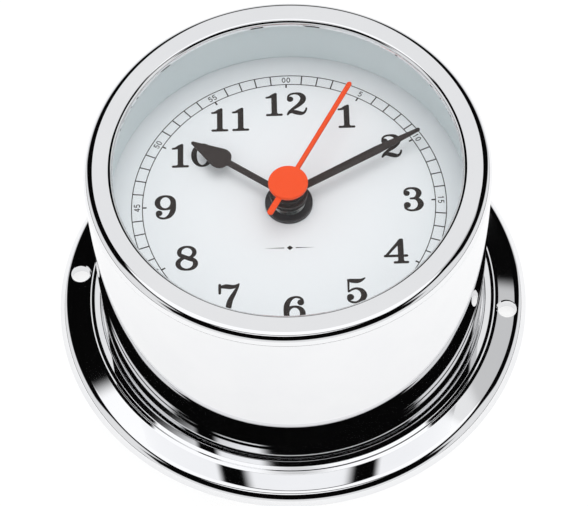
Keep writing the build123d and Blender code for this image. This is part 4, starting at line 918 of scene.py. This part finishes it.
def digit_3():
    return (
        [disc(19.5, 75, 11), disc(20, 26.5, 12)]
        + stroke([
            (11.5, 79, 6), (14, 87, 7.5), (24, 94, 8.5), (39, 95.6, 8.5), (54, 90, 15), (62, 77, 19.5),
            (57, 62, 16), (45, 54, 9), (33, 53, 8),
        ])
        + stroke([
            (33, 53, 8), (46, 53, 9), (59, 47, 16), (67, 30, 21), (59, 13, 16), (42, 4.4, 8.5),
            (26, 5.5, 8.5), (14, 13.5, 8), (11.5, 22, 6),
        ])
    )


def digit_4():
    stem = [(50, 0), (70, 0), (70, 97), (67, 100), (58, 100), (50, 92)]
    diagonal = [(3, 31), (57, 99), (63, 99), (52, 74), (17, 34), (12, 29)]
    return (
        [stem, diagonal]
        + slab(1, 85, 26, 36) + slab(34, 87, 0, 9.5) + bracket(50, 9, -6, 6) + bracket(70, 9, 6, 6)
    )


def digit_5():
    return (
        [disc(21, 25, 12.2)]
        + stroke([
            (12, 20, 6), (16, 11.5, 7.5), (27, 5.2, 8.5), (41, 4.4, 8.5), (58, 12, 16), (67.5, 31, 21),
            (60, 50, 16), (44, 58.3, 9), (29, 55.5, 8), (15.5, 47, 7),
        ])
        + [[(12, 46), (18, 46), (20, 92), (12, 97)]]
        + stroke([(15.5, 92, 9), (22, 90.5, 14), (32, 88.7, 16.5), (48, 88.2, 17), (61, 92, 11), (72, 99, 5)])
    )


def digit_6():
    return (
        [disc(62.5, 74, 11.5)]
        + stroke([
            (70.5, 78.5, 6), (67.5, 86, 7.5), (57, 93.8, 8.5), (42, 95.2, 8.5), (26, 86, 15), (16, 68, 19),
            (13.6, 50, 20), (13.5, 34, 19.5),
        ])
        + bowl(41, 31, 27.5, 27, 0, 360, 19.5, steps=72)
    )


def digit_7():
    return (
        stroke([(11, 63, 9), (11, 78, 10), (11, 95, 10)])
        + stroke([
            (10, 86, 7), (18, 88, 12), (32, 89.5, 18), (46, 87.5, 18), (60, 88, 14), (71, 93.5, 10),
            (76, 98, 6),
        ])
        + stroke([(76, 98, 6), (71, 84, 9), (60, 62, 14), (48, 38, 18), (42.5, 20, 20), (41, 10, 20)])
    )


def digit_8():
    return (
        bowl(40, 73.5, 26, 22.3, 0, 360, 15.5, steps=72) + bowl(40, 28, 30, 23.8, 0, 360, 17.5, steps=72)
        + stroke([(23, 63.5, 9), (34, 55, 15), (50, 47, 16), (61, 39.5, 9)])
    )


def digit_9():
    return [[(78 - x, 100 - y) for x, y in shape] for shape in digit_6()]


NUMERALS = [digit_0, digit_1, digit_2, digit_3, digit_4, digit_5, digit_6, digit_7, digit_8, digit_9]
ADVANCE = [78, 74, 83, 80, 88, 80, 78, 80, 80, 78]


def set_line(text, height, glyphs, advances, spacing=0.0):
    """The shapes of a number centred on the origin, in millimetres."""
    scale = height / 100
    width = sum(advances[int(c)] for c in text) + spacing * (len(text) - 1)
    shapes, x = [], -width / 2
    for c in text:
        for shape in glyphs[int(c)]:
            shapes.append([((px + x) * scale, (py - 50) * scale) for px, py in shape])
        x += advances[int(c)] + spacing
    return shapes


def carried(shapes, distance, clock_angle, turn=0.0):
    """Shapes carried out along a clock angle, and turned by degrees about their own middle."""
    direction = math.radians(90 - clock_angle)
    cx, cy = distance * math.cos(direction), distance * math.sin(direction)
    c, s = math.cos(math.radians(turn)), math.sin(math.radians(turn))
    return [[(cx + x * c - y * s, cy + x * s + y * c) for x, y in shape] for shape in shapes]


def arc_band(radius, width, steps=360):
    """Quads of a thin printed circle."""
    pairs = []
    for i in range(steps + 1):
        direction = Vector((math.cos(2 * math.pi * i / steps), math.sin(2 * math.pi * i / steps)))
        pairs.append((direction * (radius + width / 2), direction * (radius - width / 2)))
    return ribbon(pairs)


def radial_bar(inner, outer, width, clock_angle):
    """A quad of a line that points away from the arbor."""
    shape = [(-width / 2, inner), (width / 2, inner), (width / 2, outer), (-width / 2, outer)]
    c, s = math.cos(math.radians(-clock_angle)), math.sin(math.radians(-clock_angle))
    return [[(x * c - y * s, x * s + y * c) for x, y in shape]]


# Sizes of the printing, in millimetres.
TRACK_INNER, TRACK_OUTER = 35.60, 38.26
LINE = 0.21
TICK = 0.29
HOUR_TICK = 0.38
HOUR_TICK_LENGTH = 1.0
MINUTE_FIGURE_HEIGHT = 1.55
NUMERAL_HEIGHT = 7.0
# Where each hour's numeral stands, in millimetres to the right of the arbor and above it.
NUMERAL_PLACES = {
    1: (14.9, 25.4), 2: (25.5, 16.1), 3: (30.1, 0.3), 4: (25.4, -14.4),
    5: (15.4, -25.1), 6: (0.6, -29.6), 7: (-14.9, -25.7), 8: (-24.8, -14.7),
    9: (-29.9, 0), 10: (-23.6, 15.0), 11: (-14.0, 25.4), 12: (-0.1, 29.6),
}

track = arc_band(TRACK_INNER, LINE) + arc_band(TRACK_OUTER, LINE)
for minute in range(60):
    if minute % 5:
        track += radial_bar(TRACK_INNER, TRACK_OUTER, TICK, minute * 6)
    else:
        track += radial_bar(TRACK_INNER - HOUR_TICK_LENGTH, TRACK_INNER, HOUR_TICK, minute * 6)

EVEN = 13


def plain_stroke(*points):
    """A stroke of one even width through (x, y) points."""
    return stroke([(x, y, EVEN) for x, y in points])


# Small plain figures for the minute track.
SMALL = {
    0: bowl(30, 50, 23, 43, 0, 360, EVEN, EVEN, steps=40),
    1: plain_stroke((16, 80), (30, 93)) + plain_stroke((30, 93), (30, 7)),
    2: plain_stroke((8, 74), (20, 91), (42, 90), (52, 72), (40, 48), (20, 26), (8, 8))
    + plain_stroke((8, 7), (54, 7)),
    3: plain_stroke((8, 80), (26, 93), (46, 86), (50, 70), (40, 56), (26, 53))
    + plain_stroke((26, 53), (44, 48), (52, 30), (44, 12), (26, 7), (8, 18)),
    4: plain_stroke((42, 7), (42, 93)) + plain_stroke((42, 93), (7, 30)) + plain_stroke((7, 30), (55, 30)),
    5: plain_stroke((50, 93), (14, 93)) + plain_stroke((14, 93), (10, 52))
    + plain_stroke((10, 52), (28, 60), (46, 52), (52, 33), (44, 14), (26, 7), (8, 16)),
}
small_glyphs = [SMALL.get(n, []) for n in range(10)]
for number in range(12):
    text = "00" if number == 0 else str(number * 5)
    line_shapes = set_line(text, MINUTE_FIGURE_HEIGHT, small_glyphs, [60] * 10, 16)
    track += carried(line_shapes, (TRACK_INNER + TRACK_OUTER) / 2, number * 30, -number * 30)

glyphs = [figure() for figure in NUMERALS]
numerals = []
for hour, (along, up_dial) in NUMERAL_PLACES.items():
    figures = set_line(str(hour), NUMERAL_HEIGHT, glyphs, ADVANCE, 0)
    clock_angle = math.degrees(math.atan2(along, up_dial))
    numerals.append(carried(figures, math.hypot(along, up_dial), clock_angle))

# A small plain ornament under the hub: two tapered rules and a lozenge.
ornament = [
    [(-6.0, -12.6), (-1.4, -12.72), (-1.4, -12.48)], [(6.0, -12.6), (1.4, -12.48), (1.4, -12.72)],
    [(0, -13.25), (0.75, -12.6), (0, -11.95), (-0.75, -12.6)],
]

INK_BOTTOM = DIAL_TOP - 0.005 * MM
piece(
    "minute_track", plate("minute_track", track, INK_BOTTOM, DIAL_TOP + INK_HEIGHT),
    "case", "black_finish", material=DIAL_INK,
)
numeral_meshes = [plate("numeral", shapes, INK_BOTTOM, DIAL_TOP + INK_HEIGHT) for shapes in numerals]
piece("hour_numerals", joined("hour_numerals", *numeral_meshes), "case", "black_finish", material=DIAL_INK)
piece(
    "dial_ornament", plate("dial_ornament", ornament, INK_BOTTOM, DIAL_TOP + INK_HEIGHT),
    "case", "black_finish", material=DIAL_INK,
)

# ---------------------------------------------------------------- camera
CAMERA_ELEVATION = math.radians(58.248)
CAMERA_AZIMUTH = math.radians(0.829)
CAMERA_ROLL = math.radians(-2.366)
CAMERA_DISTANCE = 614.8 * MM
CAMERA_LENS = 149.85
CAMERA_SHIFT = (0.0050, 0.0049)
AIM = Vector((0, 0, 20 * MM))

backwards = Vector((
    math.sin(CAMERA_AZIMUTH) * math.cos(CAMERA_ELEVATION),
    -math.cos(CAMERA_AZIMUTH) * math.cos(CAMERA_ELEVATION),
    math.sin(CAMERA_ELEVATION),
))
level_right = (-backwards).cross(Vector((0, 0, 1))).normalized()
level_up = level_right.cross(-backwards)
right = level_right * math.cos(CAMERA_ROLL) + level_up * math.sin(CAMERA_ROLL)
up = level_up * math.cos(CAMERA_ROLL) - level_right * math.sin(CAMERA_ROLL)
camera_data = bpy.data.cameras.new("camera")
camera_data.sensor_width = 36
camera_data.lens = CAMERA_LENS
camera_data.shift_x, camera_data.shift_y = CAMERA_SHIFT
camera_data.clip_start = 0.01
camera = bpy.data.objects.new("camera", camera_data)
bpy.context.scene.collection.objects.link(camera)
place = AIM + backwards * CAMERA_DISTANCE
camera.matrix_world = Matrix((
    (right.x, up.x, backwards.x, place.x),
    (right.y, up.y, backwards.y, place.y),
    (right.z, up.z, backwards.z, place.z),
    (0, 0, 0, 1),
))
bpy.context.scene.camera = camera

# ---------------------------------------------------------------- studio
bpy.context.scene.view_settings.view_transform = "Standard"


def studio_world():
    """White where the camera looks past the object, soft white light, and screens for the chrome to mirror.
    Each screen is bounded by the parts of its direction: x to the right, y to the back and z upwards."""
    world = bpy.data.worlds.new("studio")
    bpy.context.scene.world = world
    world.use_nodes = True
    tree = world.node_tree
    tree.nodes.clear()
    nodes = Nodes(tree)
    direction = nodes.add("ShaderNodeSeparateXYZ", {0: nodes.add("ShaderNodeTexCoord").outputs["Generated"]})
    x, y, z = direction.outputs
    sideways = nodes.math("ABSOLUTE", x)
    to_right = nodes.step(x, -0.02, 0.02)
    overhead = nodes.step(nodes.math("MULTIPLY_ADD", to_right, -0.02, z), 0.880, 0.890)
    gap = nodes.math("MULTIPLY", nodes.step(y, -0.30, -0.26), nodes.step(y, -0.16, -0.20))
    far_edge = nodes.step(y, -0.44, -0.41)
    overhead = nodes.math("MULTIPLY", overhead, nodes.math("SUBTRACT", far_edge, gap))
    behind = nodes.math("MULTIPLY", nodes.step(y, 0.18, 0.26), nodes.step(sideways, 0.155, 0.135))
    behind = nodes.math("MULTIPLY", behind, nodes.step(z, 0.45, 0.6))
    backdrop = nodes.math("MULTIPLY", nodes.step(y, 0.3, 0.7), nodes.step(z, 0.35, 0.15))
    right_screen = nodes.math("MULTIPLY", nodes.step(x, 0.09, 0.11), nodes.step(x, 0.32, 0.28))
    right_screen = nodes.math("MULTIPLY", right_screen, nodes.step(z, 0.838, 0.846))
    right_screen = nodes.math("MULTIPLY", right_screen, nodes.step(y, 0.20, 0.30))
    front_low = nodes.math("MULTIPLY", nodes.step(y, -0.50, -0.60), nodes.step(z, 0.36, 0.30))
    window = nodes.math("MULTIPLY", nodes.step(y, -0.38, -0.30), nodes.step(y, 0.10, 0.04))
    window = nodes.math("MULTIPLY", window, nodes.step(sideways, 0.56, 0.62))
    side = nodes.math("MAXIMUM", window, nodes.step(sideways, 0.75, 0.80))
    side = nodes.math("MULTIPLY", side, nodes.step(z, 0.02, 0.10))
    side = nodes.math("MAXIMUM", side, front_low)
    lit = nodes.math("MAXIMUM", nodes.math("MULTIPLY", overhead, 1.15), nodes.math("MULTIPLY", behind, 0.90))
    lit = nodes.math("MAXIMUM", lit, nodes.math("MULTIPLY", nodes.math("MAXIMUM", backdrop, side), 0.85))
    lit = nodes.math("MAXIMUM", lit, nodes.math("MULTIPLY", right_screen, 0.62))
    lit = nodes.math("ADD", lit, 0.002)
    path = nodes.add("ShaderNodeLightPath")
    mirrored_world = nodes.add("ShaderNodeBackground", {"Color": (0.985, 0.99, 1.0, 1), "Strength": lit})
    soft = nodes.add("ShaderNodeBackground", {"Color": (0.98, 0.99, 1.0, 1), "Strength": 0.87})
    seen = nodes.add("ShaderNodeBackground", {"Color": (1, 1, 1, 1), "Strength": 1.0})
    inputs = {0: path.outputs["Is Glossy Ray"], 1: soft.outputs[0], 2: mirrored_world.outputs[0]}
    first = nodes.add("ShaderNodeMixShader", inputs)
    inputs = {0: path.outputs["Is Camera Ray"], 1: first.outputs[0], 2: seen.outputs[0]}
    second = nodes.add("ShaderNodeMixShader", inputs)
    output = nodes.add("ShaderNodeOutputWorld")
    tree.links.new(second.outputs[0], output.inputs["Surface"])


studio_world()


def softbox(name, location, size, power, aim=(0, 0, 0.03)):
    """A soft area light that the chrome doesn't reflect."""
    data = bpy.data.lights.new(name, "AREA")
    data.shape = "DISK"
    data.size = size
    data.energy = power
    light = bpy.data.objects.new(name, data)
    bpy.context.scene.collection.objects.link(light)
    light.location = location
    light.rotation_mode = "QUATERNION"
    light.rotation_quaternion = (Vector(aim) - Vector(location)).to_track_quat("-Z", "Y")
    light.visible_glossy = False
    return light


softbox("overhead_softbox", (0.10, 0.20, 1.1), 0.9, 3.5)

FLOOR_SEGMENTS = 64
FLOOR_DROP = 0.1 * MM


def floor_mesh():
    """A wide floor in rings, finest near the object."""
    mesh = bmesh.new()
    rings = []
    for radius in (0.1, 0.2, 0.4, 0.8, 1.6, 3.2):
        rings.append([mesh.verts.new((x, y, 0)) for x, y in disc(0, 0, radius, FLOOR_SEGMENTS)])
    mesh.faces.new(rings[0])
    for inner, outer in zip(rings, rings[1:]):
        for i in range(FLOOR_SEGMENTS):
            j = (i + 1) % FLOOR_SEGMENTS
            mesh.faces.new((inner[i], outer[i], outer[j], inner[j]))
    made = bpy.data.meshes.new("floor")
    mesh.to_mesh(made)
    mesh.free()
    return made


floor = bpy.data.objects.new("floor", floor_mesh())
bpy.context.scene.collection.objects.link(floor)
floor.location.z = -FLOOR_DROP
floor.data.materials.append(painted(
    "floor_paper", (0.34, 0.34, 0.34), (0.32, 0.32, 0.32), 0.85, 300.0,
    Emission_Color=(1, 1, 1, 1), Emission_Strength=0.72,
))
